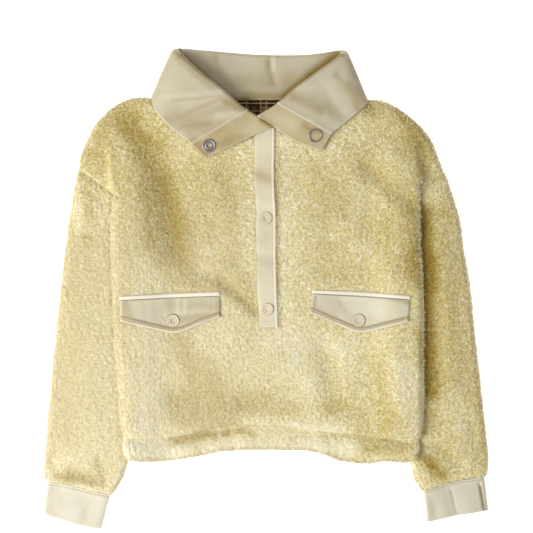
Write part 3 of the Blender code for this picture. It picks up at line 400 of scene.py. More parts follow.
def outward(grid, ring=False):
    """Unit normals of a grid of points: the cross product of its two directions."""
    along = np.gradient(grid, axis=0)
    if ring:
        across = (np.roll(grid, -1, axis=1) - np.roll(grid, 1, axis=1)) / 2
    else:
        across = np.gradient(grid, axis=1)
    normal = np.cross(across, along)
    return normal / np.maximum(np.linalg.norm(normal, axis=2)[..., None], 1e-9)


def blurred(grid, times):
    """A grid averaged with its neighbours in both directions, its rim kept."""
    for _ in range(times):
        inner = (grid[1:-1, 1:-1] * 4 + grid[:-2, 1:-1] + grid[2:, 1:-1] + grid[1:-1, :-2]
                 + grid[1:-1, 2:]) / 8
        grid = grid.copy()
        grid[1:-1, 1:-1] = inner
    return grid


def cloth_shell(name, outer, inner, ring=False, **attributes):
    """Closed wall between two grids of points in mm.  The outer keeps every point, the inner
    every fourth one, and a polygon joins each stretch of their open edges.  Attributes are
    values for the outer grid's points, and the inner points take the nearest outer one's."""
    step = INNER_STEP
    rows, columns = outer.shape[:2]
    r = np.arange(0, rows, step)
    c = np.arange(0, columns, step)
    assert r[-1] == rows - 1 and (ring or c[-1] == columns - 1), name
    thin = inner[np.ix_(r, c)]
    at = np.arange(rows * columns).reshape(rows, columns)
    low = np.arange(thin.shape[0] * thin.shape[1]).reshape(thin.shape[:2]) + at.size
    if ring:
        at = np.concatenate([at, at[:, :1]], axis=1)
        low = np.concatenate([low, low[:, :1]], axis=1)
    quads = [np.stack([g[:-1, :-1], g[:-1, 1:], g[1:, 1:], g[1:, :-1]], axis=-1).reshape(-1, 4)
             for g in (at, low[:, ::-1])]
    edges = [(at[0], low[0]), (at[-1][::-1], low[-1][::-1])]
    if not ring:
        edges += [(at[::-1, 0], low[::-1, 0]), (at[:, -1], low[:, -1])]
    rims = []
    for fine, coarse in edges:
        for k in range(len(coarse) - 1):
            stretch = fine[k * step:(k + 1) * step + 1]
            rims.append([*stretch[::-1], coarse[k], coarse[k + 1]])
    points = np.concatenate([outer.reshape(-1, 3), thin.reshape(-1, 3)])
    made = mesh_object(name, points, [np.concatenate(quads), np.array(rims)])
    for word, values in attributes.items():
        both = np.concatenate([values.ravel(), values[np.ix_(r, c)].ravel()])
        made.data.attributes.new(word, "FLOAT", "POINT").data.foreach_set("value", both)
    return made


def mesh_object(name, points, face_groups):
    """Object from points in mm and arrays of faces, with smooth shading.  Where the volume that
    the faces hold comes out below zero, they are all turned round, so that they face out."""
    mesh = bpy.data.meshes.new(name)
    corners = np.concatenate([group.ravel() for group in face_groups])
    sizes = np.concatenate([np.full(len(group), group.shape[1]) for group in face_groups])
    starts = np.concatenate([[0], np.cumsum(sizes)])
    placed = (np.asarray(points, float) - (*BOX_MIDDLE, 0.0)) * MM
    mesh.vertices.add(len(placed))
    mesh.vertices.foreach_set("co", placed.ravel())
    mesh.loops.add(len(corners))
    mesh.loops.foreach_set("vertex_index", corners.astype(np.int32))
    mesh.polygons.add(len(sizes))
    mesh.polygons.foreach_set("loop_start", starts[:-1].astype(np.int32))
    mesh.update(calc_edges=True)
    following = np.arange(len(corners)) + 1
    following[starts[1:] - 1] = starts[:-1]
    first = np.repeat(placed[corners[starts[:-1]]], sizes, axis=0)
    turn = np.cross(placed[corners], placed[corners[following]])
    if np.einsum("ij,ij->", first, turn) < 0:
        mesh.flip_normals()
    mesh.shade_smooth()
    made = bpy.data.objects.new(name, mesh)
    bpy.context.collection.objects.link(made)
    return made


def dressed(piece, material, node_name):
    """Gives a piece its material, and makes it ride the body and stand for its CAD node."""
    piece.data.materials.append(material)
    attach(piece, "root")
    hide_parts(node_name)


def srgb(code):
    """Linear colour from an sRGB hex code."""
    parts = [int(code[i:i + 2], 16) / 255 for i in (1, 3, 5)]
    linear = [p / 12.92 if p <= 0.04045 else ((p + 0.055) / 1.055) ** 2.4 for p in parts]
    return (*linear, 1.0)


def node(material, kind, settings=(), links=(), output=0, stops=()):
    """Adds one shader node and gives one of its outputs: settings are its properties or input
    values, links feed its inputs, and stops are a colour ramp's places and hex colours."""
    made = material.node_tree.nodes.new(kind)
    for key, value in dict(settings).items():
        if isinstance(key, str) and hasattr(made, key):
            setattr(made, key, value)
        else:
            made.inputs[key].default_value = value
    for key, source in dict(links).items():
        material.node_tree.links.new(source, made.inputs[key])
    band = made.color_ramp.elements if stops else ()
    while len(band) < len(stops):
        band.new(0.5)
    for element, (place, code) in zip(band, stops):
        element.position, element.color = place, srgb(code)
    return made.outputs[output]


def new_material(name, settings):
    """Material with one Principled shader and these values on its sockets."""
    made = bpy.data.materials.new(name)
    made.use_nodes = True
    for key, value in settings.items():
        made.node_tree.nodes["Principled BSDF"].inputs[key].default_value = value
    return made


def coloured(material, colour, relief):
    """Gives the material's shader its colour and the normals of its relief."""
    shader = material.node_tree.nodes["Principled BSDF"]
    material.node_tree.links.new(colour, shader.inputs["Base Color"])
    material.node_tree.links.new(relief, shader.inputs["Normal"])


def curl_lines(material, place, scale, seed):
    """Thin winding lines, 1 on a line and 0 between: a noise crossing its middle value."""
    moved = node(material, "ShaderNodeVectorMath",
                 {"operation": "ADD", 1: (seed, 2 * seed, 3 * seed)}, {0: place})
    field = node(material, "ShaderNodeTexNoise",
                 {"Scale": scale, "Detail": 1.0, "Roughness": 0.5, "Distortion": 0.7}, {"Vector": moved})
    gap = node(material, "ShaderNodeMath", {"operation": "SUBTRACT", 1: 0.5}, {0: field})
    size = node(material, "ShaderNodeMath", {"operation": "ABSOLUTE"}, {0: gap})
    return node(material, "ShaderNodeMapRange",
                {"interpolation_type": "SMOOTHSTEP", 1: 0.075, 2: 0.0, 3: 0.0, 4: 1.0}, {0: size})


def sherpa_fleece():
    """Polyester sherpa fleece, curled and brushed: its fibre tips scatter light into a soft
    sheen and pass some on below, the curls are pale and the gaps between them ochre.  The curls
    are winding lines some 3 and 5 mm apart, and the mesh carries the locks that they gather into.
    Light and shade are also painted into the colour: darker where the locks are low, darker and
    more golden by a painted shading value on the mesh, lighter where that value is below zero,
    and paler towards the hem and the left by a painted light value."""
    made = new_material("sherpa_fleece_butter", {
        "Roughness": 0.95, "Sheen Weight": 0.35, "Sheen Roughness": 0.5, "Specular IOR Level": 0.2,
        "Subsurface Weight": 0.45, "Subsurface Scale": 0.003, "Subsurface Radius": (1.0, 0.75, 0.4)})
    place = node(made, "ShaderNodeTexCoord", output="Object")
    # Values on the mesh: the pile's height, painted shading (shade above zero, light below) and painted
    # light that pales the colour
    pile, hollow, paled = (node(made, "ShaderNodeAttribute", {"attribute_name": word}, output="Fac")
                          for word in ("pile", "hollow", "rubbed"))
    fine_curls = node(made, "ShaderNodeMath", {"operation": "MULTIPLY", 1: 0.75},
                      {0: curl_lines(made, place, 300.0, 0.7)})
    curls = node(made, "ShaderNodeMath", {"operation": "MAXIMUM"},
                 {0: curl_lines(made, place, 205.0, 0.0), 1: fine_curls})
    grain = node(made, "ShaderNodeTexNoise", {"Scale": 620.0, "Detail": 2.0, "Roughness": 0.6},
                 {"Vector": place})
    ground_tone = node(made, "ShaderNodeMath", {"operation": "MULTIPLY_ADD", 1: 0.9, 2: -0.3},
                       {0: grain})
    tips = node(made, "ShaderNodeMath", {"operation": "MULTIPLY_ADD", 1: 0.56},
                {0: curls, 2: ground_tone})
    raised = node(made, "ShaderNodeMath", {"operation": "MULTIPLY_ADD", 1: -0.42},
                  {0: hollow, 2: tips})
    # Painted shade between the locks: the lower the pile, the darker the colour
    lit = node(made, "ShaderNodeMath", {"operation": "MULTIPLY_ADD", 1: 0.3}, {0: pile, 2: raised})
    tone = node(made, "ShaderNodeValToRGB", {}, {"Fac": lit}, stops=[
        (0.0, "#BAA253"), (0.3, "#D2C282"), (0.6, "#E3D8AA"), (1.0, "#F3ECD0")])
    pale = node(made, "ShaderNodeMix", {"data_type": "RGBA", 7: srgb("#E2DABF")},
                {0: paled, 6: tone}, 2)
    colour = node(made, "ShaderNodeMix", {"data_type": "RGBA", "blend_type": "MULTIPLY",
                                          7: srgb("#C1B176")}, {0: hollow, 6: pale}, 2)
    coloured(made, colour, node(made, "ShaderNodeBump", {"Strength": 0.6, "Distance": 0.0009},
                                {"Height": tips}))
    return made


def stray_curls(name, grid, weight, count, length, seed, ring=False):
    """Loose curled tips of the pile, set on a surface where the weight of a grid cell is high:
    three-sided tapered strands that lean over and curl, roots and lean at random."""
    rng = np.random.default_rng(seed)
    normal = outward(grid, ring)
    diagonals = np.cross(grid[1:, 1:] - grid[:-1, :-1], grid[1:, :-1] - grid[:-1, 1:])
    share = (np.linalg.norm(diagonals, axis=2) * weight[:-1, :-1]).ravel()
    cells = rng.choice(share.size, count, p=share / share.sum())
    rows, columns = np.divmod(cells, grid.shape[1] - 1)
    u, v = rng.random((2, count, 1))
    root = ((1 - u) * (1 - v) * grid[rows, columns] + u * (1 - v) * grid[rows, columns + 1]
            + (1 - u) * v * grid[rows + 1, columns] + u * v * grid[rows + 1, columns + 1])
    up = normal[rows, columns]
    side = rng.normal(size=(count, 3))
    side -= (side * up).sum(axis=1)[:, None] * up
    side /= np.linalg.norm(side, axis=1)[:, None]
    across = np.cross(up, side)
    long = length * rng.uniform(0.6, 1.3, (count, 1))
    lean = rng.uniform(0.35, 1.0, (count, 1))
    middle = root + long * (0.42 * up + 0.35 * lean * side)
    curl = rng.normal(size=(count, 1)) * across
    tip = root + long * (0.5 * up + 0.85 * lean * side + 0.45 * curl)
    angles = np.radians((0, 120, 240))[None, :, None]
    spoke = np.cos(angles) * side[:, None] + np.sin(angles) * across[:, None]
    base_ring = (root - ROOT_DEPTH * up)[:, None] + ROOT_RADIUS * spoke
    middle_ring = middle[:, None] + MIDDLE_RADIUS * spoke
    points = np.concatenate([base_ring, middle_ring, tip[:, None]], axis=1)
    points[..., 2] = np.maximum(points[..., 2], STRAND_FLOOR)
    first = 7 * np.arange(count)[:, None]
    walls = [first + (k, (k + 1) % 3, 3 + (k + 1) % 3, 3 + k) for k in range(3)]
    ends = [first + (3 + k, 3 + (k + 1) % 3, 6) for k in range(3)] + [first + (2, 1, 0)]
    made = mesh_object(name, points.reshape(-1, 3), [np.concatenate(walls), np.concatenate(ends)])
    made.data.materials.append(stray_fibre)
    made.data.shade_flat()
    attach(made, "root")
    return made


fleece = sherpa_fleece()
# Single curled fibres, paler than the mass of the pile because light passes round them
stray_fibre = new_material("sherpa_fleece_stray_fibre", {
    "Base Color": srgb("#EFE5C4"), "Roughness": 1.0, "Specular IOR Level": 0.0})
PILE_DEPTH = 1.5          # nub tops above the ground of the pile
PILE_SUNK = 0.7           # ground of the pile below the panel's mean surface
ROOT_DEPTH = 0.4          # a strand's root below the surface
ROOT_RADIUS, MIDDLE_RADIUS = 0.36, 0.3
STRAND_FLOOR = 0.15       # no strand comes closer to the table
FRONT_ROWS, FRONT_HALF = 305, 137
HEM_MIDDLE = -151.2       # y of the hem seam at the centre line


def fine_places(line, corners, count):
    """Places from 0 to 1 along a line, even between the corner rows, which they hit exactly."""
    s = chord(line) / chord(line)[-1]
    marks = [0.0] + [s[i] for i in corners] + [1.0]
    at = np.round(np.array(marks) * (count - 1)).astype(int)
    return np.interp(np.arange(count), at, marks)


def half_front(fold, shoulder, neck, sign):
    """Plan points of one half of the front, columns from its side to the centre line."""
    fold_line = softened(fold, 6)
    side = np.concatenate([fold_line, softened(shoulder, 6)])
    up, across = np.linspace(0, 1, FRONT_ROWS), np.linspace(0, 1, FRONT_HALF)
    left = polyline(side, fine_places(side, [len(fold_line) - 1, len(fold_line)], FRONT_ROWS))
    hem = softened(HEM_SEAM, 8)
    half = hem[hem[:, 0] * sign > 0]
    half = half[::-1] if sign > 0 else half
    middle = HEM_MIDDLE + (neck[-1][1] - HEM_MIDDLE) * up ** 0.86
    right = np.stack([np.zeros(FRONT_ROWS), middle], axis=1)
    bottom = polyline(np.concatenate([left[:1], half[2:], right[:1]]), across)
    top = polyline(neck, across)
    return coons(bottom, top, left, right, across, up)


left_half = half_front(LEFT_FOLD, LEFT_SHOULDER, NECK_LEFT, -1)
right_half = half_front(RIGHT_FOLD, RIGHT_SHOULDER, NECK_RIGHT, 1)
plan = np.concatenate([left_half, right_half[:, -2::-1]], axis=1)


def pressed(x, y):
    """1 where twill lies on the pile, fading over 3 mm at its edges."""
    flat = np.zeros(np.shape(x))
    for x0, x1, y0, y1 in PRESSED:
        inside = np.minimum(np.minimum(x - x0, x1 - x), np.minimum(y - y0, y1 - y))
        flat = np.maximum(flat, smooth(inside / 3 + 0.5))
    return flat


def furred(base, depth, ring=False):
    """A surface moved out along its normals by the pile, and the pile's height for its colour."""
    height = curly_pile(base)
    rise = depth * (height * PILE_DEPTH - PILE_SUNK)
    return base + outward(base, ring) * rise[..., None], height


x, y = plan[..., 0], plan[..., 1]
front_base = np.dstack([x, y, blurred(front_top(x, y), 2)])
front_outer, front_pile = furred(front_base, 1 - 0.75 * pressed(x, y))
front_inner = np.dstack([x, y, front_under(x, y)])
# Painted shading of the front: its shades blurred, and a painted shadow beside the placket's free edge
front_hollow = blurred(shades(FRONT_SHADES, x, y), 70)
front_hollow += 0.5 * bell(distance_to(BESIDE_PLACKET, x, y), 1.8)
front = cloth_shell("fleece_front", front_outer, front_inner, pile=front_pile,
                    rubbed=rubbed(x, y), hollow=np.clip(front_hollow, -1, 1))
dressed(front, fleece, "body_front")
# Lines in plan along which the pile stands out: the outline, and the edges of the twill on it
RIM = LEFT_FOLD, LEFT_SHOULDER, RIGHT_FOLD, RIGHT_SHOULDER
TWILL_EDGES = ([(-12.8, 150), (-12.4, 110), (-10.6, 60), (-9, -10), (-7.5, -44), (13.8, -44)],
               [(12, 150), (12, 90), (13, 10), (14, -44)],
               [(-124, 202), (-119, 192), (-105, 176.6), (-82, 157), (-65, 143), (0, 172)],
               [(116, 202), (97, 189), (84, 177), (61, 151), (4, 172)])
rim_gap = np.minimum.reduce([distance_to(line, x, y) for line in RIM])
twill_gap = np.minimum.reduce([distance_to(line, x, y) for line in TWILL_EDGES])
rim_weight = bell(rim_gap, 3.0) + 0.7 * bell(twill_gap, 1.8) + 0.02
front_curls = stray_curls("fleece_front_curls", front_outer, rim_weight, 6600, 3.0, 41)

# ======================================================================== back of the body
# The back is one flat panel of the same fleece, cut in one with the back shoulder caps.  It lies
# on the table with its pile outside, pressed level where it rests; its sides stop short of the
# two sleeves, which lie beside it under the front.
BACK_ROWS, BACK_COLUMNS = 161, 161
BACK_CORNER = -163.0      # y of the back's two lower corners
BESIDE_SLEEVE = 1.2       # room between the back and a sleeve


def back_side(inner, shoulder, sign):
    """One side of the back from the hem up: beside the sleeve, out along the armhole, and round
    the shoulder cap."""
    low = [(line_x(inner, BACK_CORNER) + BESIDE_SLEEVE * sign, BACK_CORNER)]
    low += [(px + BESIDE_SLEEVE * sign, py) for px, py in inner[:0:-1] if py > BACK_CORNER + 5]
    low += [(inner[0][0] + 0.6 * sign, inner[0][1] + 1.6)]
    cap = [(shoulder[0][0], shoulder[0][1] + 0.8)] + shoulder[1:len(shoulder) - 1]
    low, cap = softened(low, 4), softened(cap, 6)
    line = np.concatenate([low, cap])
    return polyline(line, fine_places(line, [len(low) - 1, len(low)], BACK_ROWS))


left_side = back_side(LEFT_INNER, LEFT_SHOULDER, 1)
right_side = back_side(RIGHT_INNER, RIGHT_SHOULDER, -1)
across = np.linspace(0, 1, BACK_COLUMNS)
hem_line = [p for p in HEM_SEAM if left_side[0][0] < p[0] < right_side[0][0]]
hem_line = polyline(softened(hem_line), across) + (0.0, 0.9)
hem_line[0], hem_line[-1] = left_side[0], right_side[0]
neck_line = polyline([left_side[-1], (-118, 206.6), (-104, 208.6), (-60, 209.8), (60, 209.8),
                      (94, 208.0), right_side[-1]], across)
back_plan = coons(hem_line, neck_line, left_side, right_side, across, np.linspace(0, 1, BACK_ROWS))
x, y = back_plan[..., 0], back_plan[..., 1]
caps = np.minimum(distance_to(LEFT_SHOULDER, x, y), distance_to(RIGHT_SHOULDER, x, y))
back_pile = curly_pile(np.dstack([x, y, 0 * x]))
back_under = np.dstack([x, y, 3.2 * (1 - rounding(caps, 5)) + 1.3 * (1 - back_pile)])
back_inside = np.dstack([x, y, np.full(x.shape, BACK_TOP)])
back = cloth_shell("fleece_back", back_under, back_inside, pile=back_pile, rubbed=rubbed(x, y),
                   hollow=0 * back_pile)
dressed(back, fleece, "body_back")

# ======================================================================== sleeves
# Each sleeve is one tube of fleece, pressed flat, from the armhole seam to the cuff.  The body
# lies on its inner half; the outer half is full, with gathers above the cuff and a pulled
# armhole seam.
SLEEVE_SWELL = 2.8        # rise of its full outer half
SLEEVE_END = 8.6          # height of a sleeve at its cuff seam
CURLS_FROM = 3.0          # stray curls stand where the cloth is this far off the table
LEFT_OUTER = [(-205, 131.5), (-210.7, 108.4), (-212.9, 90.8), (-216.2, 73.2), (-220.6, 38),
              (-225, 2.8), (-230.5, -50), (-236, -103), (-241, -164), (-243.5, -195),
              (-244, -207), (-240.8, -214)]
RIGHT_OUTER = [(194.2, 130.5), (200.8, 117.2), (203, 108.4), (208.5, 90.8), (214, 73.2),
               (218.4, 38), (225, 2.8), (230, -50), (236, -103), (241.5, -155), (245.5, -189),
               (243.7, -206), (241.5, -208)]
LEFT_WRIST = [(-151.3, -190), (-157.9, -209.6), (-165.6, -222.8), (-170.6, -228)]
RIGHT_WRIST = [(159, -195.3), (163.4, -208.5), (167.8, -217.3), (173.3, -224)]
LEFT_HEM_SIDE = [(-156, -165), (-157.4, -174), (-156, -183), (-151.3, -190)]
RIGHT_HEM_SIDE = [(169.5, -169), (170, -176), (168, -184), (163.5, -191)]
LEFT_CUFF_SEAM = [(-240.8, -214), (-226, -215.8), (-204, -220.3), (-191, -224.5), (-170.6, -228)]
RIGHT_CUFF_SEAM = [(241.5, -208), (217, -211.8), (202, -215), (183, -221.5), (173.3, -224)]
# Columns x0, y0, x1, y1, height, half width: the left arm's rows, then the right arm's
SLEEVE_FOLDS = [
    (-203, 128, -178, 111, -2.2, 5),       # pulled armhole seam
    (-203, 112, -180, 96, -1.4, 5),
    (-228, -20, -222, -120, -1.0, 9),
    (-190, -60, -196, -140, 1.4, 14),
    (-214, -204, -188, -212, -2.6, 6),     # gathers above the cuff
    (-184, -190, -176, -214, -1.6, 5),
    (-236, -190, -226, -206, -1.2, 5),
    (196, 124, 178, 112, -2.0, 5),
    (205, 92, 186, 84, -1.4, 5),
    (196, 40, 206, -110, 2.0, 9),          # long ridge down the arm
    (190, -176, 214, -196, -2.0, 7),
    (226, -150, 238, -190, -1.6, 7),
    (184, -200, 190, -216, -1.4, 5),
]
# Painted shade on the sleeves, with a painted shadow in a strip beside the body's right edge, and below
# zero painted light; columns as above, the left arm's rows, then the right arm's
SLEEVE_SHADES = [
    (-214, 106, -200, 66, -0.6, 9),
    (-203, 128, -178, 111, 0.4, 4),
    (-206, 96, -224, -150, 0.26, 30),
    (-216, 90, -240, -190, 0.24, 12),
    (-199, 86, -197, 56, 0.58, 9),
    (-179, 92, -174, 72, -0.3, 6),
    (-228, -208, -212, -212, 0.7, 5),
    (-152, -186, -166, -226, -0.5, 5),
    (-214, -204, -188, -212, 0.6, 6),
    (-184, -190, -176, -214, 0.35, 5),
    (173, 80, 176, 20, 1.1, 11),
    (180, 34, 180, -4, 1.3, 10),
    (175, 20, 180, -114, 1.1, 12),
    (230, -20, 232, -50, 0.6, 6),
    (180, -134, 181, -158, 0.4, 7),
    (194, 80, 202, -100, 0.27, 18),
    (216, 40, 228, -120, 0.15, 14),
    (190, -110, 194, -160, 0.12, 12),
    (190, -176, 206, -190, 0.25, 9),
    (178, -190, 194, -206, 1.0, 6),
    (238, -90, 244, -180, 0.4, 9),
    (196, 124, 186, 117, 0.3, 5),
]
# Name, lines of each sleeve, and the seed of its stray curls
SLEEVES = (("left", LEFT_FOLD, LEFT_OUTER, LEFT_INNER, LEFT_HEM_SIDE, LEFT_WRIST, LEFT_CUFF_SEAM, 42),
           ("right", RIGHT_FOLD, RIGHT_OUTER, RIGHT_INNER, RIGHT_HEM_SIDE, RIGHT_WRIST,
            RIGHT_CUFF_SEAM, 44))


def ground(x, y):
    """The surface that the garment lies on."""
    return np.zeros(np.shape(x))


def inset_rows(plan, across, wall):
    """Rows of plan points drawn in from both ends by the wall."""
    width = np.hypot(*(plan[:, -1] - plan[:, 0]).T)
    drawn = []
    for row, w in zip(plan, width):
        at = 0.5 + (across - 0.5) * (1 - 2 * wall / w)
        drawn.append(np.stack([np.interp(at, across, row[:, i]) for i in (0, 1)], axis=1))
    return np.stack(drawn)


def flat_rings(side_a, side_b, start, end, top_z, under_z, radius, rows, counts, wall=0.0):
    """Rings of a tube pressed flat: a Coons patch between its two side folds and two end lines,
    over the top and back under it.  Its height swells from the middle layer by a quarter circle
    at each fold.  With a wall, it is the inside of the tube."""
    along = np.linspace(0, 1, rows)
    line_a, line_b = polyline(side_a, along), polyline(side_b, along)
    halves = []
    for count, up in zip(counts, (True, False)):
        t = np.linspace(0, 1, count)
        across = 0.55 * (1 - np.cos(np.pi * t)) / 2 + 0.45 * t
        plan = coons(polyline(start, across), polyline(end, across), line_a, line_b, across, along)
        if wall:
            plan = inset_rows(plan, across, wall)
        x, y = plan[..., 0], plan[..., 1]
        edge = np.minimum(np.hypot(x - x[:, :1], y - y[:, :1]),
                          np.hypot(x - x[:, -1:], y - y[:, -1:]))
        low, high = under_z(x, y) + wall, top_z(x, y) - wall
        room = np.maximum((high - low) / 2, 0.25) if wall else (high - low) / 2
        full = rounding(edge, radius) * (0.85 if wall else 1.0) + (0.15 if wall else 0.0)
        halves.append(np.dstack([x, y, (low + high) / 2 + (room if up else -room) * full]))
    return np.concatenate([halves[0], halves[1][:, ::-1][:, 1:-1]], axis=1)


def pressed_tube(sides, top_z, under_z, radius, rows, counts, wall):
    """Outside and inside rings of a tube pressed flat, in the order that turns normals out."""
    outside = flat_rings(*sides, top_z, under_z, radius, rows, counts)
    inside = flat_rings(*sides, top_z, under_z, radius, rows, counts, wall)
    if outward(outside, ring=True)[rows // 2, counts[0] // 2, 2] < 0:
        return outside[::-1], inside[::-1]
    return outside, inside


def sleeve_height(x, y, edge, outer, cuff_seam, start_y):
    """Top of a sleeve: level and low where the body lies on it, and full between the body's
    edge and its own outer fold."""
    place = (x - edge) / (line_x(outer, y) - edge)
    full = np.sin(np.pi * np.clip(place, 0, 1)) ** 0.75
    swell = SLEEVE_SWELL * smooth((start_y + 14 - y) / 30) * (1 - 0.35 * smooth((-195 - y) / 20))
    bare = smooth((place + 0.02) / 0.12)
    top = SLEEVE_HIDDEN_TOP + swell * full + bare * (0.3 + 0.8 * folds(SLEEVE_FOLDS, x, y))
    return SLEEVE_END + (top - SLEEVE_END) * rounding(distance_to(cuff_seam, x, y), 6)


def furred_tube(base, seen, depth=1.0):
    """Tube's rings with pile on them: full where seen from above, pressed inwards where the tube
    rests on the table or under the body, and never below the table."""
    height = curly_pile(base)
    normal = outward(base, ring=True)
    up = smooth((normal[..., 2] + 0.5) / 0.8)
    out = np.where(seen > 0.01, seen, 0.0) * up * depth
    rise = out * (height * PILE_DEPTH - PILE_SUNK) - (1 - out) * (1 - height)
    moved = base + normal * rise[..., None]
    moved[..., 2] = np.maximum(moved[..., 2], 0.0)
    return moved, height


for word, fold, outer, inner, hem_side, wrist, cuff, seed in SLEEVES:
    body_edge = fold[:0:-1] + hem_side + wrist[1:]

    def sleeve_top(x, y):
        return sleeve_height(x, y, line_x(body_edge, y), outer, cuff, fold[-1][1])

    out_line = softened(outer, 8)
    in_line = softened(inner + wrist, 8)
    out_line[0] += (0.0, 0.8)
    in_line[0] += (0.0, 0.8)
    seam = softened(cuff, 8)
    seam[0], seam[-1] = out_line[-1], in_line[-1]
    sides = (out_line, in_line, [out_line[0], in_line[0]], seam)
    rings, inside = pressed_tube(sides, sleeve_top, ground, 5.5, 289, (83, 39), FLEECE)
    x, y = rings[..., 0], rings[..., 1]
    edge = line_x(body_edge, y)
    bare = smooth(((x - edge) / (line_x(outer, y) - edge) + 0.04) / 0.08)
    outer_rings, pile = furred_tube(rings, bare, 0.75)
    sleeve = cloth_shell(f"fleece_sleeve_{word}", outer_rings, inside, ring=True, pile=pile,
                         rubbed=rubbed(x, y), hollow=blurred(shades(SLEEVE_SHADES, x, y), 30))
    dressed(sleeve, fleece, f"sleeve_{word}")
    rim_gap = np.minimum(distance_to(out_line[::8], x, y), distance_to(wrist, x, y))
    rim_weight = bell(rim_gap, 2.2) + 0.15 * bell(distance_to(cuff, x, y), 2.2) + 0.01
    rim_weight = rim_weight * (bare > 0.3) * (rings[..., 2] > CURLS_FROM)
    curls = stray_curls(f"fleece_sleeve_curls_{word}", outer_rings, rim_weight, 2600, 2.8, seed,
                        ring=True)

# ======================================================================== hem band
# A band of the same fleece all round the hem, sewn to the front under its overhanging lip.  At
# each side it folds over and lies on the sleeve.
HEM_TOP = 10.4
HEM_EDGE = [(-151.3, -189.2), (-134.8, -192), (-106, -190.9), (-77.6, -186.5), (-49, -180.4),
            (-14.9, -178.8), (44.6, -179.3), (68, -184.8), (79, -190.9), (104, -194),
            (119, -193.4), (129, -191), (156.8, -192.6), (163.5, -189.5)]
HEM_WAVES = [(-40, -156, -36, -176, -1.0, 7), (60, -160, 66, -182, 1.2, 8),
             (100, -166, 112, -188, 1.4, 12), (140, -170, 146, -188, -1.2, 8),
             (-110, -170, -80, -184, 1.2, 10), (-70, -160, -40, -160, -1.2, 6)]
# Painted shade under the front's lip and in the band's waves, and below zero painted light that makes the
# band paler; columns as above
HEM_SHADES = [(-60, -177, 90, -177, -1.0, 9), (-150, -184, -90, -184, -0.8, 8),
              (112, -176, 150, -178, 0.4, 8),
              (-150, -174, -124, -174, -0.9, 8), (-98, -168, -60, -162, 0.6, 6),
              (-58, -162, -54, -174, 0.7, 5),
              (-46, -160, -26, -158, 0.6, 5),
              (-20, -158, -12, -166, 0.4, 5), (76, -164, 146, -170, 0.3, 5)]


def hem_under(x, y):
    """Underside of the band: on the table, and over each sleeve at its sides."""
    return OVER_SLEEVE_UNDER * np.maximum(smooth((line_x(LEFT_INNER, y) + 13 - x) / 11),
                                          smooth((x - line_x(RIGHT_INNER, y) + 13) / 11))


def hem_top(x, y):
    """Top of the band: full along its lower fold, with soft waves."""
    risen = OVER_SLEEVE_UNDER * np.maximum(smooth((line_x(LEFT_INNER, y) + 50 - x) / 48),
                                           smooth((x - line_x(RIGHT_INNER, y) + 50) / 48))
    tucked = (1.2 + 0.36 * risen) * bell(distance_to(HEM_SEAM, x, y), 8)
    full = 1.3 * np.exp(-((y + 178) / 9) ** 2)
    return HEM_TOP + full + 0.82 * risen - tucked + folds(HEM_WAVES, x, y)


seam_side = softened(HEM_SEAM, 8) + (0.0, 0.9)
fold_side = softened(HEM_EDGE, 8)
seam_side[0] += (-1.4, 0)
left_end = np.array([seam_side[0], *LEFT_HEM_SIDE[1:3], fold_side[0]])
right_end = np.array([seam_side[-1], *RIGHT_HEM_SIDE[1:3], fold_side[-1]])
sides = (left_end, right_end, seam_side, fold_side)
rings, inside = pressed_tube(sides, hem_top, hem_under, 6.0, 29, (245, 97), FLEECE)
x, y = rings[..., 0], rings[..., 1]
band_outer, pile = furred_tube(rings, np.ones(x.shape))
# Painted light: the pile value passed to the colour is raised, which colours the whole band lighter
hem_band = cloth_shell("fleece_hem_band", band_outer, inside, ring=True, pile=0.3 + 0.8 * pile,
                       rubbed=rubbed(x, y), hollow=shades(HEM_SHADES, x, y))
dressed(hem_band, fleece, "hem_band")
rim_weight = (bell(distance_to(fold_side[::8], x, y), 2.2) + 0.01) * (rings[..., 2] > CURLS_FROM)
hem_curls = stray_curls("fleece_hem_band_curls", band_outer, rim_weight, 1300, 2.8, 47, ring=True)

# ======================================================================== cuffs
# Each cuff is a folded band of cream cotton twill, sewn to the gathered sleeve end with the seam
# turned up.  A line of stitches runs beside the seam, and its lower edge is a soft fold.
TWILL = 1.4               # thickness of one ply with its turned edges
CUFF_TOP = 6.6
LEFT_CUFF_EDGE = [(-244.8, -246.5), (-243, -250.5), (-230, -254.6), (-214, -260.2),
                  (-197, -264.5), (-181, -266.4)]
RIGHT_CUFF_EDGE = [(245.8, -245.6), (228, -249), (210, -251.4), (192, -255.8), (177.7, -259)]
CUFF_CREASES = [(-226, -222, -222, -236, -0.25, 5), (-200, -236, -196, -252, -0.3, 6),
                (-232, -238, -206, -248, 0.3, 7), (-214, -226, -186, -232, -0.25, 5),
                (188, -224, 194, -253, 0.6, 5), (204, -222, 210, -250, -0.7, 2.0),
                (226, -212, 232, -240, 0.5, 7), (236, -216, 240.5, -243, -1.5, 1.8),
                (184, -236, 192, -252, -0.5, 5)]
# Painted shade in the cuffs' creases and at the right cuff's overlap fold; columns as above
CUFF_SHADES = [(-230, -240, -200, -236, 0.15, 9), (-196, -238, -204, -258, 0.2, 5),
               (187, -226, 183, -254, 0.25, 5), (197, -224, 204, -252, 0.3, 4),
               (204, -224, 211, -251, 0.5, 1.4), (236.5, -220, 241.5, -245, 1.6, 1.5),
               (-212, -222, -176, -229, 0.25, 2.5), (-240, -222, -236, -250, 0.25, 9),
               (224, -222, 232, -248, 0.3, 9)]


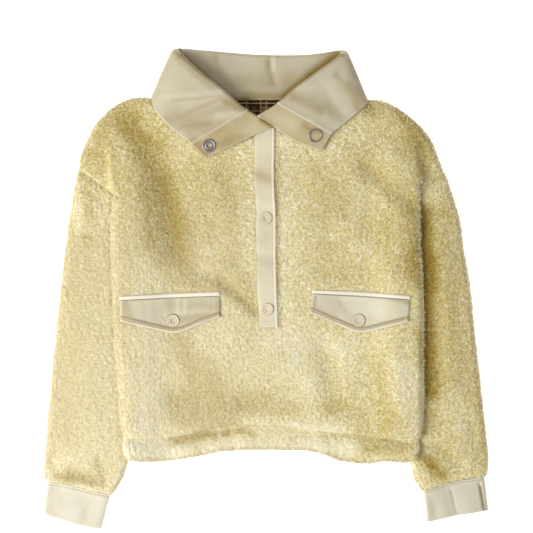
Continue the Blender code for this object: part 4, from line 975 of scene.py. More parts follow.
def cotton_twill(name, face, shadow, pale_and_highlight_colour, shade_colour="#C9BB9C"):
    """Brushed cotton twill, matt with a faint fibre sheen.  Its diagonal ribs are 0.5 mm apart in
    the real cloth and are drawn at 1.6 mm, the finest that can still be seen.  Light and shade
    are painted into the colour: a painted shading value on the mesh darkens it towards the shade
    colour, and an edge value mixes it towards a paler colour, as painted highlights along edges,
    seam ridges and rolls, as painted light where a piece's shades are below zero, and on the
    welts as an even paler tone."""
    made = new_material(name, {"Roughness": 0.82, "Sheen Weight": 0.12, "Sheen Roughness": 0.4,
                               "Specular IOR Level": 0.3})
    place = node(made, "ShaderNodeTexCoord", output="Object")
    edge, hollow = (node(made, "ShaderNodeAttribute", {"attribute_name": word}, output="Fac")
                    for word in ("edge", "hollow"))
    turned = node(made, "ShaderNodeMapping", {"Rotation": (0, 0, math.radians(58))},
                  {"Vector": place})
    ribs = node(made, "ShaderNodeTexWave", {"Scale": 196.0, "Distortion": 1.2, "Detail": 1.0,
                                            "Detail Scale": 2.0}, {"Vector": turned}, "Fac")
    slubs, clouds = (node(made, "ShaderNodeTexNoise", {"Scale": scale, "Detail": 2.0},
                          {"Vector": place}) for scale in (300.0, 28.0))
    yarn = node(made, "ShaderNodeMath", {"operation": "MULTIPLY_ADD", 1: 0.25}, {0: ribs, 2: slubs})
    mixed = node(made, "ShaderNodeMath", {"operation": "MULTIPLY_ADD", 1: 0.35},
                 {0: yarn, 2: clouds})
    cloth = node(made, "ShaderNodeValToRGB", {}, {"Fac": mixed}, stops=[(0.45, shadow), (0.85, face)])
    # Painted shade: the cloth multiplied towards the shade colour by the painted shading value
    cloth_in_painted_shade = node(made, "ShaderNodeMix", {"data_type": "RGBA", "blend_type": "MULTIPLY",
                                        7: srgb(shade_colour)}, {0: hollow, 6: cloth}, 2)
    # Painted highlights and light, and the welts' paler tone: mixed towards the paler colour by the edge
    # value
    paled = node(made, "ShaderNodeMix", {"data_type": "RGBA", 7: srgb(pale_and_highlight_colour)},
                {0: edge, 6: cloth_in_painted_shade}, 2)
    coloured(made, paled, node(made, "ShaderNodeBump", {"Strength": 0.35, "Distance": 0.0004},
                              {"Height": yarn}))
    return made


cuff_twill = cotton_twill("cotton_twill_cuff", "#DBD6C5", "#D1CCB7", "#E9E5D7")


def cuff_top(x, y):
    """Top of a cuff: level, with soft creases."""
    return CUFF_TOP + folds(CUFF_CREASES, x, y)


for word, side, seam, edge in (("left", -1, LEFT_CUFF_SEAM, LEFT_CUFF_EDGE),
                               ("right", 1, RIGHT_CUFF_SEAM, RIGHT_CUFF_EDGE)):
    start = softened(seam, 8) + (0.0, -0.3)
    start[0] += (-0.4 * side, 0)
    start[-1] += (0.8 * side, 0)
    end = softened(edge, 8)
    sides = ([start[0], end[0]], [start[-1], end[-1]], start, end)
    rings, inside = pressed_tube(sides, cuff_top, ground, 3.2, 61, (83, 39), TWILL)
    x, y = rings[..., 0], rings[..., 1]
    from_seam = distance_to(start, x, y)
    from_edge = distance_to(end, x, y)
    from_fold = distance_to(sides[side < 0], x, y)     # each cuff's fold at its right
    stitches = bell(from_seam - 2.5, 0.6)
    relief = 0.9 * bell(from_seam, 1.6) + 0.3 * bell(from_seam - 1.3, 0.7) - 0.3 * stitches
    relief -= (1 - rounding(from_edge, 2.2)) + 1.2 * bell(from_fold, 4.0)
    # Painted shade in the seam and the stitch groove; painted highlights on the seam's ridge and the
    # lower fold, and on the left cuff painted light along its fold at the right
    shade = shades(CUFF_SHADES, x, y) + 0.5 * bell(from_seam, 0.6) + 0.6 * stitches
    painted_highlight = 0.1 * bell(from_edge - 0.8, 1.2) + 0.4 * bell(from_seam - 1.3, 0.6)
    painted_highlight += (side < 0) * bell(from_fold, 2.5)
    raised = rings.copy()
    raised[..., 2] += np.clip(outward(rings, ring=True)[..., 2], 0, 1) * relief
    cuff = cloth_shell(f"twill_cuff_{word}", raised, inside, ring=True,
                       edge=np.clip(painted_highlight, 0, 1), hollow=np.clip(shade, 0, 1))
    dressed(cuff, cuff_twill, f"cuff_{word}")

# ======================================================================== back neck lining
# Inside the back neck a piece of dark brown plaid cotton covers the seam: maroon-black bands in
# both directions on an olive brown ground, with fine cream lines.
plaid = new_material("plaid_cotton_brown", {"Roughness": 0.85, "Sheen Weight": 0.08,
                                            "Specular IOR Level": 0.25})
place = node(plaid, "ShaderNodeTexCoord", output="Object")
# Lines of the plaid, each row laid over those before it, in mm
# columns: axis that they cross / places along it / half width / soft side / colour
PLAID_LINES = [
    ("X", (-37, -12.5, 11, 40), 3.2, 0.6, "#5A412A"),
    ("X", (-58, -46, -32, -16.5, -8, 5.5, 20, 34, 49), 1.3, 0.4, "#3E2017"),
    ("Y", (205.3, 200.8), 1.1, 0.4, "#2A1110"),
    ("Y", (202.9, 194.5), 0.25, 0.35, "#A88F62"),
    ("X", (-48, -21.0, -5.4, 0.8, 27, 52), 0.2, 0.4, "#A08A60"),
]


def plaid_mask(axis, places, half_width, soft):
    """1 on the lines at these places along one axis, 0 beyond their soft sides."""
    along = node(plaid, "ShaderNodeSeparateXYZ", {}, {0: place}, axis)
    mask = None
    for middle in places:
        centre = (middle - BOX_MIDDLE["XY".index(axis)]) * MM
        gap = node(plaid, "ShaderNodeMath", {"operation": "SUBTRACT", 1: centre}, {0: along})
        size = node(plaid, "ShaderNodeMath", {"operation": "ABSOLUTE"}, {0: gap})
        line = node(plaid, "ShaderNodeMapRange",
                    {1: (half_width + soft) * MM, 2: half_width * MM, 3: 0.0, 4: 1.0}, {0: size})
        mask = node(plaid, "ShaderNodeMath", {"operation": "MAXIMUM"}, {0: mask or line, 1: line})
    return mask


yarns = node(plaid, "ShaderNodeTexNoise", {"Scale": 420.0, "Detail": 2.0}, {"Vector": place})
colour = node(plaid, "ShaderNodeValToRGB", {}, {"Fac": yarns},
              stops=[(0.35, "#6A5632"), (0.65, "#8A744D")])
for axis, places, half_width, soft, code in PLAID_LINES:
    colour = node(plaid, "ShaderNodeMix", {"data_type": "RGBA", 7: srgb(code)},
                  {0: plaid_mask(axis, places, half_width, soft), 6: colour}, 2)
coloured(plaid, colour, node(plaid, "ShaderNodeBump", {"Strength": 0.3, "Distance": 0.0003},
                             {"Height": yarns}))


def between(upper, lower, across, down):
    """Grid of plan points from one line down to another."""
    t = down[:, None, None]
    return (1 - t) * polyline(upper, across)[None] + t * polyline(lower, across)[None]


LINING_TOP = 206.4
LINING_EDGE = [(-80, 194), (-60, 189.5), (-33, 184.5), (0, 181), (30, 184), (52, 188.5), (70, 193)]
plan = between([(-82, LINING_TOP), (72, LINING_TOP)], softened(LINING_EDGE),
               np.linspace(0, 1, 121), np.linspace(0, 1, 25))
x, y = plan[..., 0], plan[..., 1]
lining_top = 6.3 + 0.35 * np.sin(x / 9.0) * np.sin((LINING_TOP - y) / 8.0)
lining = cloth_shell("plaid_neck_lining", np.dstack([x, y, lining_top]),
                     np.dstack([x, y, np.full(x.shape, BACK_TOP + REST)]))
dressed(lining, plaid, "neck_lining")

# ======================================================================== placket band
# The half placket's upper band of cream twill covers the slit at centre front.  Its left edge is
# sewn down and half buried in pile, its right edge is free and stands off a little.
# Columns y, left x, right x, lift of the right edge
PLACKET = [(176, -11.6, 10.4, 0.0), (165, -12.4, 10.2, 0.1), (146, -12.6, 10.0, 0.3),
           (132, -12.9, 9.6, 0.5), (118, -13.3, 9.6, 0.7), (104, -12.0, 10.2, 0.7),
           (85, -10.2, 11.4, 0.5), (66, -10.8, 11.8, 0.2), (50, -10.6, 11.8, 0.1),
           (28, -9.9, 11.8, 0.1), (10, -10.0, 12.2, 0.4), (-6, -9.6, 12.6, 0.2),
           (-20, -8.0, 13.2, 0.1), (-44, -7.2, 14.0, 0.1)]
PLACKET_CREASES = [(-8, 128, 6, 122, -0.3, 5), (-6, 96, 10, 92, 0.3, 6), (-8, 46, 8, 40, 0.3, 6),
                   (-7, 18, 10, 16, -0.3, 5), (-2, 60, 0, 30, 0.2, 4)]
# Painted shade across the band, and below zero painted light; columns as above
PLACKET_SHADES = [(-8, 124, 9, 118, 0.55, 8), (-10, 30, 12, 24, 0.35, 9), (-9, 156, 8, 156, -0.35, 10),
                  (-8, 90, 10, 88, -0.35, 10), (-8, -4, 12, -6, -0.2, 8), (-6, 52, 8, 56, 0.15, 9)]
PLACKET_SNAPS = [(0.6, 76.5), (2.2, -23.7)]
placket_twill = cotton_twill("cotton_twill_placket", "#DDD5BC", "#D1C7A9", "#EBE4CE")


def laid_height(x, y):
    """Height that twill lies at on the pressed pile: the front's top, evened out over 4 mm."""
    reach = 4.0
    around = [(0, 0), (reach, 0), (-reach, 0), (0, reach), (0, -reach)]
    return sum(front_top(x + dx, y + dy) for dx, dy in around) / len(around) + 0.5


def placket_height(x, y):
    """Top of the placket band: laid cloth, its right side lifting to the free edge."""
    table = np.asarray(PLACKET, float)[::-1]
    left, right, lift = (np.interp(y, table[:, 0], table[:, i]) for i in (1, 2, 3))
    free = np.clip((x - left) / (right - left), 0, 1) ** 1.5
    return laid_height(x, y) + TWILL + lift * free + folds(PLACKET_CREASES, x, y)


edges = polyline(np.asarray(PLACKET)[:, :3], np.linspace(0, 1, 221))
y, left, right = (edges[:, i:i + 1] * np.ones((1, 33)) for i in range(3))
x = left + (right - left) * np.linspace(0, 1, 33)
from_left, from_right, from_end = x - left, right - x, y - edges[-1, 0]
rim = np.minimum(np.minimum(from_right, from_left), from_end)
top = placket_height(x, y) - (1 - rounding(rim, 1.3)) + 0.2 * bell(from_right - 1.4, 1.0)
top -= 0.2 * bell(from_right - 3.4, 0.6) + 0.6 * bell(from_left, 1.8)
# Painted shading of the band: a painted highlight along the free right edge, painted light where the
# shades are below zero, a painted shadow along the sewn left edge and painted contact shadows round the
# snaps
shade = shades(PLACKET_SHADES, x, y)
pale = bell(from_right - 1.2, 1.4) + np.clip(-shade, 0, 1)
from_snap = np.minimum.reduce([np.hypot(x - px, y - py) for px, py in PLACKET_SNAPS])
shaded = np.maximum(np.clip(shade, 0, 1) + 0.5 * bell(from_left, 1.0), 0.6 * bell(from_snap - 6.7, 0.7))
placket = cloth_shell("twill_placket_band", np.dstack([x, y, top]),
                      np.dstack([x, y, placket_height(x, y) - TWILL - 0.2]),
                      edge=np.clip(pale, 0, 1), hollow=np.clip(shaded, 0, 1))
dressed(placket, placket_twill, "placket_band")

# ======================================================================== collar
# The collar is one folded piece of two plies of twill: it stands up from the neck seam, turns
# over at the roll and falls outside.  Each front end has a straight band sewn on with a raised
# seam.  The right end lies over the left.
# columns: neck x, y, z / roll x, y, z / free edge x, y, z / roll radius / turn, degrees
COLLAR = [
    (1.0, 174.0, 15.0, 9.0, 177.6, 16.8, -66.6, 141.4, 15.0, 1.8, 0),
    (-26.0, 187.0, 15.2, -20.2, 194.2, 17.6, -82.0, 157.9, 15.0, 1.9, 0),
    (-44.0, 187.5, 14.8, -41.2, 212.0, 20.0, -105.0, 176.6, 15.0, 3.0, 0),
    (-74.0, 194.5, 14.6, -67.4, 232.6, 21.2, -119.0, 192.0, 15.6, 3.6, 0),
    (-103.5, 203.4, 15.2, -93.4, 256.4, 19.6, -124.4, 203.0, 15.4, 3.6, 35),
    (-109.5, 207.0, 10.8, -98.6, 261.4, 13.2, -122.4, 212.6, 8.4, 3.4, 90),
    (-103.0, 208.6, 6.6, -90.0, 262.2, 6.8, -108.0, 221.0, 2.4, 3.4, 150),
    (-60.0, 208.4, 6.6, -55.0, 259.2, 4.8, -62.0, 225.0, 1.4, 3.4, 180),
    (-4.0, 208.2, 6.8, -4.0, 255.4, 4.8, -4.0, 224.0, 1.4, 3.4, 180),
    (50.0, 208.4, 6.6, 45.0, 255.6, 4.8, 52.0, 225.0, 1.4, 3.4, 180),
    (93.0, 208.2, 6.6, 80.5, 260.0, 6.8, 96.0, 220.5, 2.4, 3.4, 210),
    (99.0, 206.4, 10.8, 86.4, 258.8, 13.2, 106.8, 212.0, 8.4, 3.4, 270),
    (93.0, 202.2, 15.4, 81.0, 253.4, 19.8, 111.0, 202.5, 15.6, 3.6, 325),
    (66.0, 194.5, 15.4, 52.3, 233.0, 21.8, 97.0, 189.0, 15.6, 3.6, 360),
    (42.0, 189.0, 16.8, 31.0, 217.5, 22.4, 84.0, 178.0, 15.4, 3.2, 360),
    (26.0, 191.0, 19.6, 14.0, 201.5, 23.4, 73.0, 168.9, 15.4, 2.4, 360),
    (0.5, 182.6, 22.6, -8.5, 187.4, 24.6, 62.2, 149.2, 15.6, 2.0, 360),
]
COLLAR_FOLDS = [
    (-112, 205, -48, 214, 1.6, 7),
    (-104, 188, -50, 206, -1.8, 6),
    (-84, 170, -36, 182, 1.0, 7),
    (60, 228, 84, 190, -0.5, 6),
    (40, 208, 66, 190, 1.4, 8),
    (88, 232, 104, 204, 1.2, 7),
]
STAND_FOLDS = [
    (4, 256, 10, 226, -2.0, 5),
    (-54, 258, -50, 238, -1.6, 5),
    (-30, 214, -8, 222, 1.0, 5),
    (44, 232, 60, 214, 1.2, 8),
]
# Painted shade of the fall and of the stand, where creases and the roll keep the light out, and
# below zero painted light that makes the cloth paler: columns as above
FALL_SHADES = [
    (-102, 205, -46, 211, 0.3, 2.0),
    (-99.6, 184, -80, 194, 0.4, 4.0),
    (-80, 194, -50, 206.5, 0.4, 3.4),
    (-76, 188, -44, 198, 0.3, 8.0),
    (-92, 177, -62, 180, 0.5, 6.0),
    (-98, 186, -58, 172, 0.42, 13.0),
    (-52, 188.7, -28, 190, -0.5, 3.5),
    (-112, 209.5, -50, 214, -0.45, 3.0),
    (-78, 160, -66, 146, 0.55, 9.0),
    (-50, 158, -30, 166, 0.35, 8.0),
    (-30, 170, -14, 176, -0.2, 6.0),
    (77, 233, 90, 220, 0.4, 3.5),
    (90, 222, 103, 203, 0.5, 7.0),
    (99, 216, 109, 200, 0.4, 7.0),
    (30, 209, 60, 194, 0.42, 6.0),
    (66, 200, 85, 184, 0.2, 6.5),
    (62, 226, 78, 206, -0.35, 6.0),
    (36, 219, 71, 219, -0.35, 4.0),
    (88, 196, 100, 186, -0.3, 5.0),
    (-98, 254, -50, 210, 0.4, 4.0),
    (-44, 204, -26, 196, 0.6, 6.0),
    (94, 250, 98, 232, 0.4, 5.0),
    (-99, 259, -94, 253, 0.7, 4.0),
    (-4, 184, 7, 177, 0.9, 3.0),
    (98, 204, 104, 192, 0.5, 5.0),
    (-86, 172, -74, 156, 0.35, 6.0),
    (44.6, 185.8, 52.4, 182.4, -0.9, 1.3),
    (42, 178, 54, 171, 0.4, 4.0),
    (6, 190, 30, 178, -0.4, 7.0),
    (-94.5, 263, -93.0, 255, 1.0, 1.2),
    (-101, 259, -96, 256, 0.8, 1.8),
    (-124, 206, -102, 256, 0.25, 4.0),
    (77.8, 259.6, 84.8, 254.1, 1.0, 1.3),
]
STAND_SHADES = [
    (-90, 252, -64, 230, 0.8, 6.0),
    (-64, 230, -38, 208, 0.45, 7.0),
    (-38, 208, -22, 194, 0.8, 6.0),
    (-76, 242, -40, 224, 0.35, 12.0),
    (-40, 250, -14, 238, 0.15, 10.0),
    (-48, 214, -18, 205, 0.4, 9.0),
    (-20, 210, 44, 210, 0.7, 8.0),
    (-26, 226, 30, 226, 0.35, 14.0),
    (77.6, 254.7, 19.3, 209.6, 1.0, 7.0),
    (66, 240, 30, 212, 0.4, 12.0),
    (3.3, 256, 3.3, 242, 0.35, 2.6),
    (13.2, 255, 13.2, 230, 0.25, 1.8),
    (-53.9, 259, -53.9, 250, 0.25, 2.0),
    (-94.5, 263, -92.0, 253, 1.0, 1.5),
    (77.5, 260, 84, 254, 1.0, 1.6),
    (8, 240, 8, 256, -0.4, 2.0),
]
TWILL_DOUBLE = 2.2                    # thickness of two plies of twill
LEFT_BAND, RIGHT_BAND = 1.0, 15.0     # stations of the two band seams
SEAM_LAP = 0.03                       # the fall's overlap on a band, in stations
STAND_STEPS, ARC_STEPS, FALL_STEPS = 25, 15, 51


def collar_station(place):
    """The table's values at a place between its rows, as smooth curves through them."""
    table = np.asarray(COLLAR, float)
    slope = np.gradient(table, axis=0)
    k = np.clip(np.floor(place).astype(int), 0, len(COLLAR) - 2)
    t = (place - k)[:, None]
    return ((2 * t**3 - 3 * t**2 + 1) * table[k] + (t**3 - 2 * t**2 + t) * slope[k]
            + (3 * t**2 - 2 * t**3) * table[k + 1] + (t**3 - t**2) * slope[k + 1])


def collar_sheet(places):
    """Middle of the collar's cloth: straight up the stand, half a turn round the roll, and down
    the fall in a slight bulge to its free edge, a section for each place along the neck."""
    row = collar_station(places)
    neck, roll, edge = row[:, 0:3], row[:, 3:6], row[:, 6:9]
    radius, turn = row[:, 9:10], np.radians(row[:, 10])
    inward = (neck + edge) / 2 - roll
    inward[:, 2] = 0
    inward /= np.linalg.norm(inward, axis=1)[:, None]
    away = np.stack([-np.sin(turn), np.zeros(len(turn)), np.cos(turn)], axis=1)
    stand_end = roll + radius * (inward - away)
    fall_start = roll + radius * (inward + away)
    t = np.linspace(0, 1, STAND_STEPS)[None, :-1, None]
    stand = neck[:, None] + (stand_end - neck)[:, None] * t
    a = np.linspace(-math.pi / 2, math.pi / 2, ARC_STEPS)[None, :, None]
    centre = (roll + radius * inward)[:, None]
    arc = centre + radius[:, None] * (np.sin(a) * away[:, None] - np.cos(a) * inward[:, None])
    t = np.linspace(0, 1, FALL_STEPS)[None, 1:, None]
    bulge = 1.2 * np.sin(math.pi * t) * away[:, None] * (0.5 + 0.5 * np.cos(turn))[:, None, None]
    fall = fall_start[:, None] + (edge - fall_start)[:, None] * t + bulge
    sheet = np.concatenate([stand, arc, fall], axis=1)
    step = np.arange(sheet.shape[1])[None, :]
    down = np.clip((step - STAND_STEPS - ARC_STEPS) / FALL_STEPS, 0, 1)
    swing = smooth((places - RIGHT_BAND) / (len(COLLAR) - 1 - RIGHT_BAND))[:, None]
    sheet[..., 0] -= 1.7 * swing * np.sin(math.pi * down) ** 2
    sheet[..., 1] -= 3.4 * swing * np.sin(math.pi * down) ** 2
    sheet[..., 2] -= 2.4 * swing * np.sin(math.pi * down)
    x, y, z = sheet[..., 0], sheet[..., 1], sheet[..., 2]
    facing = np.cos(turn)[:, None]
    fading = smooth((step - STAND_STEPS - ARC_STEPS + 2) / 16)
    z = z + (facing > 0.5) * folds(COLLAR_FOLDS, x, y) * fading
    z = z + (facing < -0.5) * (step < STAND_STEPS) * folds(STAND_FOLDS, x, y) * smooth(step / 8)
    across_placket = smooth((x + 16) / 5) * smooth((16 - x) / 5) * smooth((y - 120) / 10)
    clear = front_top(x, y) + 2.6 * across_placket + REST + 0.3 + TWILL_DOUBLE / 2
    lies = (facing > 0.2) & (step >= STAND_STEPS) & (y < 206)
    sheet[..., 2] = np.where(lies, np.maximum(z, clear), z)
    return sheet


collar_twill = cotton_twill("cotton_twill_collar", "#C8C0A8", "#BEB598", "#DDD6C2", "#B8A05C")
band_twill = cotton_twill("cotton_twill_collar_band", "#C5B993", "#B5A77D", "#D8D0B5", "#BA9C62")
TIP = 2.8                             # radius of the bands' corners
stations = [np.linspace(a, b, n)[:-1] for a, b, n in
            ((LEFT_BAND - SEAM_LAP, 3.4, 61), (3.4, 6.6, 71), (6.6, 9.4, 61), (9.4, 12.6, 71),
             (12.6, RIGHT_BAND + SEAM_LAP, 61))]
stations = np.concatenate(stations + [[RIGHT_BAND + SEAM_LAP]])
# Name, node, stations, twill, ridges at the first and last station, painted highlight on the
# seams, flat size, area and what the piece lies on
COLLAR_PIECES = (
    ("twill_collar", "collar", stations, collar_twill, 0.55, 0.55, 0.9,
     (0.49, 0.12), 0.0378, ["fleece_front", "table_top"]),
    ("twill_collar_band_left", "collar_end_left", np.linspace(0.0, LEFT_BAND, 37), band_twill,
     0.2, 0.0, 0.4, (0.10, 0.026), 0.0024, ["fleece_front"]),
    ("twill_collar_band_right", "collar_end_right", np.linspace(RIGHT_BAND, len(COLLAR) - 1, 37),
     band_twill, 0.0, 0.2, 0.4, (0.10, 0.026), 0.0024, ["fleece_front"]),
)
for (name, node_name, places, cloth, first_ridge, last_ridge, seam_highlight,
     flat, area, rests_on) in COLLAR_PIECES:
    sheet = collar_sheet(places)
    step = np.arange(sheet.shape[1])[None, :]
    run = np.linalg.norm(np.diff(sheet, axis=1), axis=2)
    from_free = np.cumsum(run[:, ::-1], axis=1)[:, ::-1]
    from_free = np.concatenate([from_free, np.zeros((len(places), 1))], axis=1)
    from_roll = np.abs(from_free - from_free[:, STAND_STEPS + ARC_STEPS // 2 - 1][:, None])
    length = np.linalg.norm(np.diff(sheet, axis=0), axis=2)
    from_first = np.concatenate([np.zeros((1, sheet.shape[1])), np.cumsum(length, axis=0)])
    from_last = from_first[-1] - from_first
    ridge = 0.3 * bell(from_free - 1.0, 0.9) - 0.25 * bell(from_free - 3.4, 0.8)
    if node_name == "collar":
        ridge = ridge + 0.5 * (bell(from_first, 5.0) + bell(from_last, 5.0))
    else:
        at_right = node_name == "collar_end_right"
        front = from_last if at_right else from_first
        p, q = np.clip(1 - front / TIP, 0, 1), np.clip(1 - from_free / TIP, 0, 1)
        into = np.gradient(sheet, axis=0) * (-1 if at_right else 1)
        into = into / np.linalg.norm(into, axis=2)[..., None]
        back = -np.gradient(sheet, axis=1)
        back = back / np.linalg.norm(back, axis=2)[..., None]
        sheet = (sheet + into * (TIP * p * (1 - np.sqrt(1 - q * q / 2)))[..., None]
                 + back * (TIP * q * (1 - np.sqrt(1 - p * p / 2)))[..., None])
    ridge = ridge + first_ridge * bell(from_first - 0.8, 0.8) + last_ridge * bell(from_last - 0.8, 0.8)
    rim = np.minimum(from_free, np.minimum(from_first, from_last))
    half = TWILL_DOUBLE / 2
    normal = outward(sheet)
    fall_side = -1 if normal[:, -10, 2].mean() > 0 else 1
    outer = sheet - fall_side * normal * (half * (0.35 + 0.65 * rounding(rim, 1.2)) + ridge)[..., None]
    inner = sheet + fall_side * normal * half
    # Painted highlights along the free edge, the roll and the band seams; painted light where the shades
    # are below zero
    painted_highlight = 0.5 * bell(from_free - 0.6, 0.8) + 0.15 * bell(from_roll, 1.6)
    painted_highlight = painted_highlight + seam_highlight * (bell(from_first - 0.7, 0.8) + bell(from_last - 0.7, 0.8))
    falls = smooth((step - STAND_STEPS - ARC_STEPS / 2) / 6)
    shade = (falls * shades(FALL_SHADES, sheet[..., 0], sheet[..., 1])
             + (1 - falls) * shades(STAND_SHADES, sheet[..., 0], sheet[..., 1]))
    pale = np.clip(painted_highlight, 0, 1) - 0.8 * np.minimum(shade, 0)
    piece = cloth_shell(name, outer, inner, edge=np.clip(pale, 0, 1), hollow=np.clip(shade, 0, 1))
    dressed(piece, cloth, node_name)

# ======================================================================== pocket welts and flaps
# Each chest pocket has a narrow turned strip of twill, and under it a five-sided flap of two
# plies with its seam allowance pressed inside and a snap at its point.
LEFT_FLAP_TOP = [(-160, -14.4), (-106, -11.6), (-50, -9.6)]
LEFT_FLAP_EDGE = [(-159.3, -36.9), (-128, -44.5), (-106, -49.6), (-98.5, -50.2), (-90, -48.2),
                  (-72, -40.6), (-50, -32.6)]
LEFT_WELT_TOP = [(-160, -9.7), (-106, -6.6), (-50, -4.6)]
LEFT_WELT_EDGE = [(-160, -13.9), (-106, -11.1), (-50, -9.1)]
RIGHT_FLAP_TOP = [(51.4, -7.0), (104, -9.6), (158.4, -13.6)]
RIGHT_FLAP_EDGE = [(48.1, -27.2), (78, -40.2), (97, -48.2), (104.4, -49.8), (112, -48.9),
                   (132, -43.8), (156.2, -37.6)]
RIGHT_WELT_TOP = [(52, -2.7), (104, -4.6), (159, -8.9)]
RIGHT_WELT_EDGE = [(51.4, -6.5), (104, -9.1), (158.9, -13.1)]
FLAP_LIFT = 0.8           # how far the free edge stands off
FLAP_THICK = 1.6
FLAP_CREASES = [(-132, -16, -130, -36, -0.25, 4), (-112, -16, -108, -30, 0.3, 5),
                (-84, -18, -92, -38, 0.3, 5), (-64, -14, -70, -30, -0.2, 5),
                (80, -12, 92, -34, -0.45, 4), (118, -14, 112, -34, 0.3, 6),
                (134, -18, 140, -34, -0.25, 5)]
# Painted shade of the flaps, and below zero painted light that makes the cloth paler
FLAP_SHADES = [
    (-115, -18, -113, -34, 0.25, 3), (-104, -18, -54, -20, 0.45, 9), (-153, -18, -148, -36, 0.5, 6),
    (-124, -22, -119, -38, 0.16, 8), (-97, -14, -97, -26, -0.25, 2.5), (-89, -14, -89, -30, -0.25, 1.6),
    (-76, -22, -60, -28, 0.25, 6), (-94, -35, -64, -31, 0.55, 6), (56, -24, 72, -33, 0.3, 9),
    (82, -16, 94, -32, 0.3, 4), (88, -12, 112, -13, -0.4, 3), (66, -14, 80, -24, 0.2, 7),
    (104, -20, 128, -26, -0.3, 9), (134, -11, 158, -17, 0.45, 3),
]
flap_twill = cotton_twill("cotton_twill_flap", "#D9D2BA", "#CCC3A8", "#EDE8D8", "#BFB090")
welt_twill = cotton_twill("cotton_twill_welt", "#E8E0CA", "#DED5BD", "#F4EEDF")


def flap_height(x, y, fall):
    """Top of a flap: laid cloth, standing off a little more towards its free edge."""
    return laid_height(x, y) + FLAP_THICK + FLAP_LIFT * fall**2 + folds(FLAP_CREASES, x, y)


# Name, x of the snap, and the four long lines of each pocket
POCKETS = (("left", -101.8, LEFT_FLAP_TOP, LEFT_FLAP_EDGE, LEFT_WELT_TOP, LEFT_WELT_EDGE),
           ("right", 102.3, RIGHT_FLAP_TOP, RIGHT_FLAP_EDGE, RIGHT_WELT_TOP, RIGHT_WELT_EDGE))
for word, snap_x, flap_top, flap_edge, welt_top, welt_edge in POCKETS:
    across = np.linspace(0, 1, 181)
    down = np.linspace(0, 1, 61)
    upper, lower = softened(flap_top, 10), softened(flap_edge, 6)
    plan = between(upper, lower, across, down)
    x, y = plan[..., 0], plan[..., 1]
    from_edge, from_top = distance_to(lower, x, y), distance_to(upper, x, y)
    from_left, from_right = np.abs(x - x[:, :1]), np.abs(x[:, -1:] - x)
    from_side = np.minimum(from_left, from_right)
    rim = np.minimum(np.minimum(from_edge, from_side), from_top)
    turned_in = smooth((7.5 - np.minimum(from_edge, from_side)) / 2.0) * smooth((from_top - 1) / 3)
    relief = -0.9 * (1 - rounding(rim, 1.4)) - 0.6 * bell(from_side, 3.0) + 0.3 * turned_in
    relief = relief + 0.3 * bell(from_edge - 1.3, 1.0) - 0.25 * bell(from_edge - 3.0, 0.7)
    # Painted shade along the fold band inside the lower and left edges, under the welt and round the
    # snap; painted highlights along the lower edge and inside the right edge, and painted light where the
    # shades are below zero
    fold_line = 0.5 * bell(from_edge - 5.6, 1.2) + 0.5 * smooth(from_edge - 1.8) * smooth(6.6 - from_edge)
    fold_line = np.maximum(fold_line, 0.7 * bell(from_left - 4.4, 1.0) + 0.3 * smooth(5 - from_left))
    shade = shades(FLAP_SHADES, x, y)
    from_snap = np.hypot(x - snap_x, y + 36.4)
    shaded = np.maximum.reduce([fold_line * smooth((from_top - 0.5) / 3), shade,
                                0.25 * bell(from_top, 1.6), 0.9 * bell(from_snap - 7.2, 0.7)])
    pale = 0.6 * bell(from_edge - 0.8, 1.0) + 0.45 * bell(from_right - 2.8, 1.0) - shade
    height = flap_height(x, y, down[:, None])
    flap = cloth_shell(f"twill_flap_{word}", np.dstack([x, y, height + relief]),
                       np.dstack([x, y, height - FLAP_THICK]),
                       edge=np.clip(pale, 0, 1), hollow=np.clip(shaded, 0, 1))
    dressed(flap, flap_twill, f"pocket_flap_{word}")

    down = np.linspace(0, 1, 17)
    plan = between(softened(welt_top, 10), softened(welt_edge, 10), across, down)
    x, y = plan[..., 0], plan[..., 1]
    height = laid_height(x, y)
    roundness = np.clip(1 - (2 * down[:, None] - 1) ** 2, 0, 1) ** 0.6
    ends = rounding(np.minimum(np.abs(x - x[:, :1]), np.abs(x[:, -1:] - x)), 1.5)
    top = height + 0.5 + (TWILL_DOUBLE - 1.0) * roundness * ends
    welt = cloth_shell(f"twill_welt_{word}", np.dstack([x, y, top]), np.dstack([x, y, height]),
                       edge=np.full(x.shape, 0.6))
    dressed(welt, welt_twill, f"pocket_welt_{word}")

# ======================================================================== snaps
# Six ring snaps pressed through the cloth.  The collar's are bare nickel, a socket at left and an
# open prong ring at right.  Those of the placket and the flaps are painted cream, a double ring.
PAINTED_RING = [(0.44, 0.0), (0.46, 0.5), (0.50, 0.75), (0.56, 0.8), (0.61, 0.5), (0.65, 0.05),
                (0.71, 0.0), (0.76, 0.4), (0.81, 0.95), (0.86, 1.15), (0.92, 1.1), (0.97, 0.8),
                (1.0, 0.4), (1.0, 0.0)]
OPEN_RING = [(0.76, 0.0), (0.76, 0.6), (0.78, 1.0), (0.82, 1.25), (0.87, 1.35), (0.92, 1.25),
             (0.96, 1.0), (0.99, 0.6), (1.0, 0.3), (1.0, 0.0)]
SOCKET_RING = [(0.32, 0.0), (0.33, 1.0), (0.36, 1.35), (0.42, 1.5), (0.49, 1.45), (0.54, 1.1),
               (0.58, 0.4), (0.64, 0.2), (0.70, 0.3), (0.74, 0.9), (0.79, 1.35), (0.86, 1.5),
               (0.93, 1.35), (0.98, 0.9), (1.0, 0.4), (1.0, 0.0)]
painted = new_material("painted_brass_cream", {"Base Color": srgb("#DDD3B8"), "Roughness": 0.45,
                                               "Coat Weight": 0.2, "Coat Roughness": 0.3})
nickel = new_material("nickel_plated_brass", {"Base Color": srgb("#A69C9E"), "Metallic": 1.0,
                                              "Roughness": 0.42})
ROUND = 48                # points round a ring


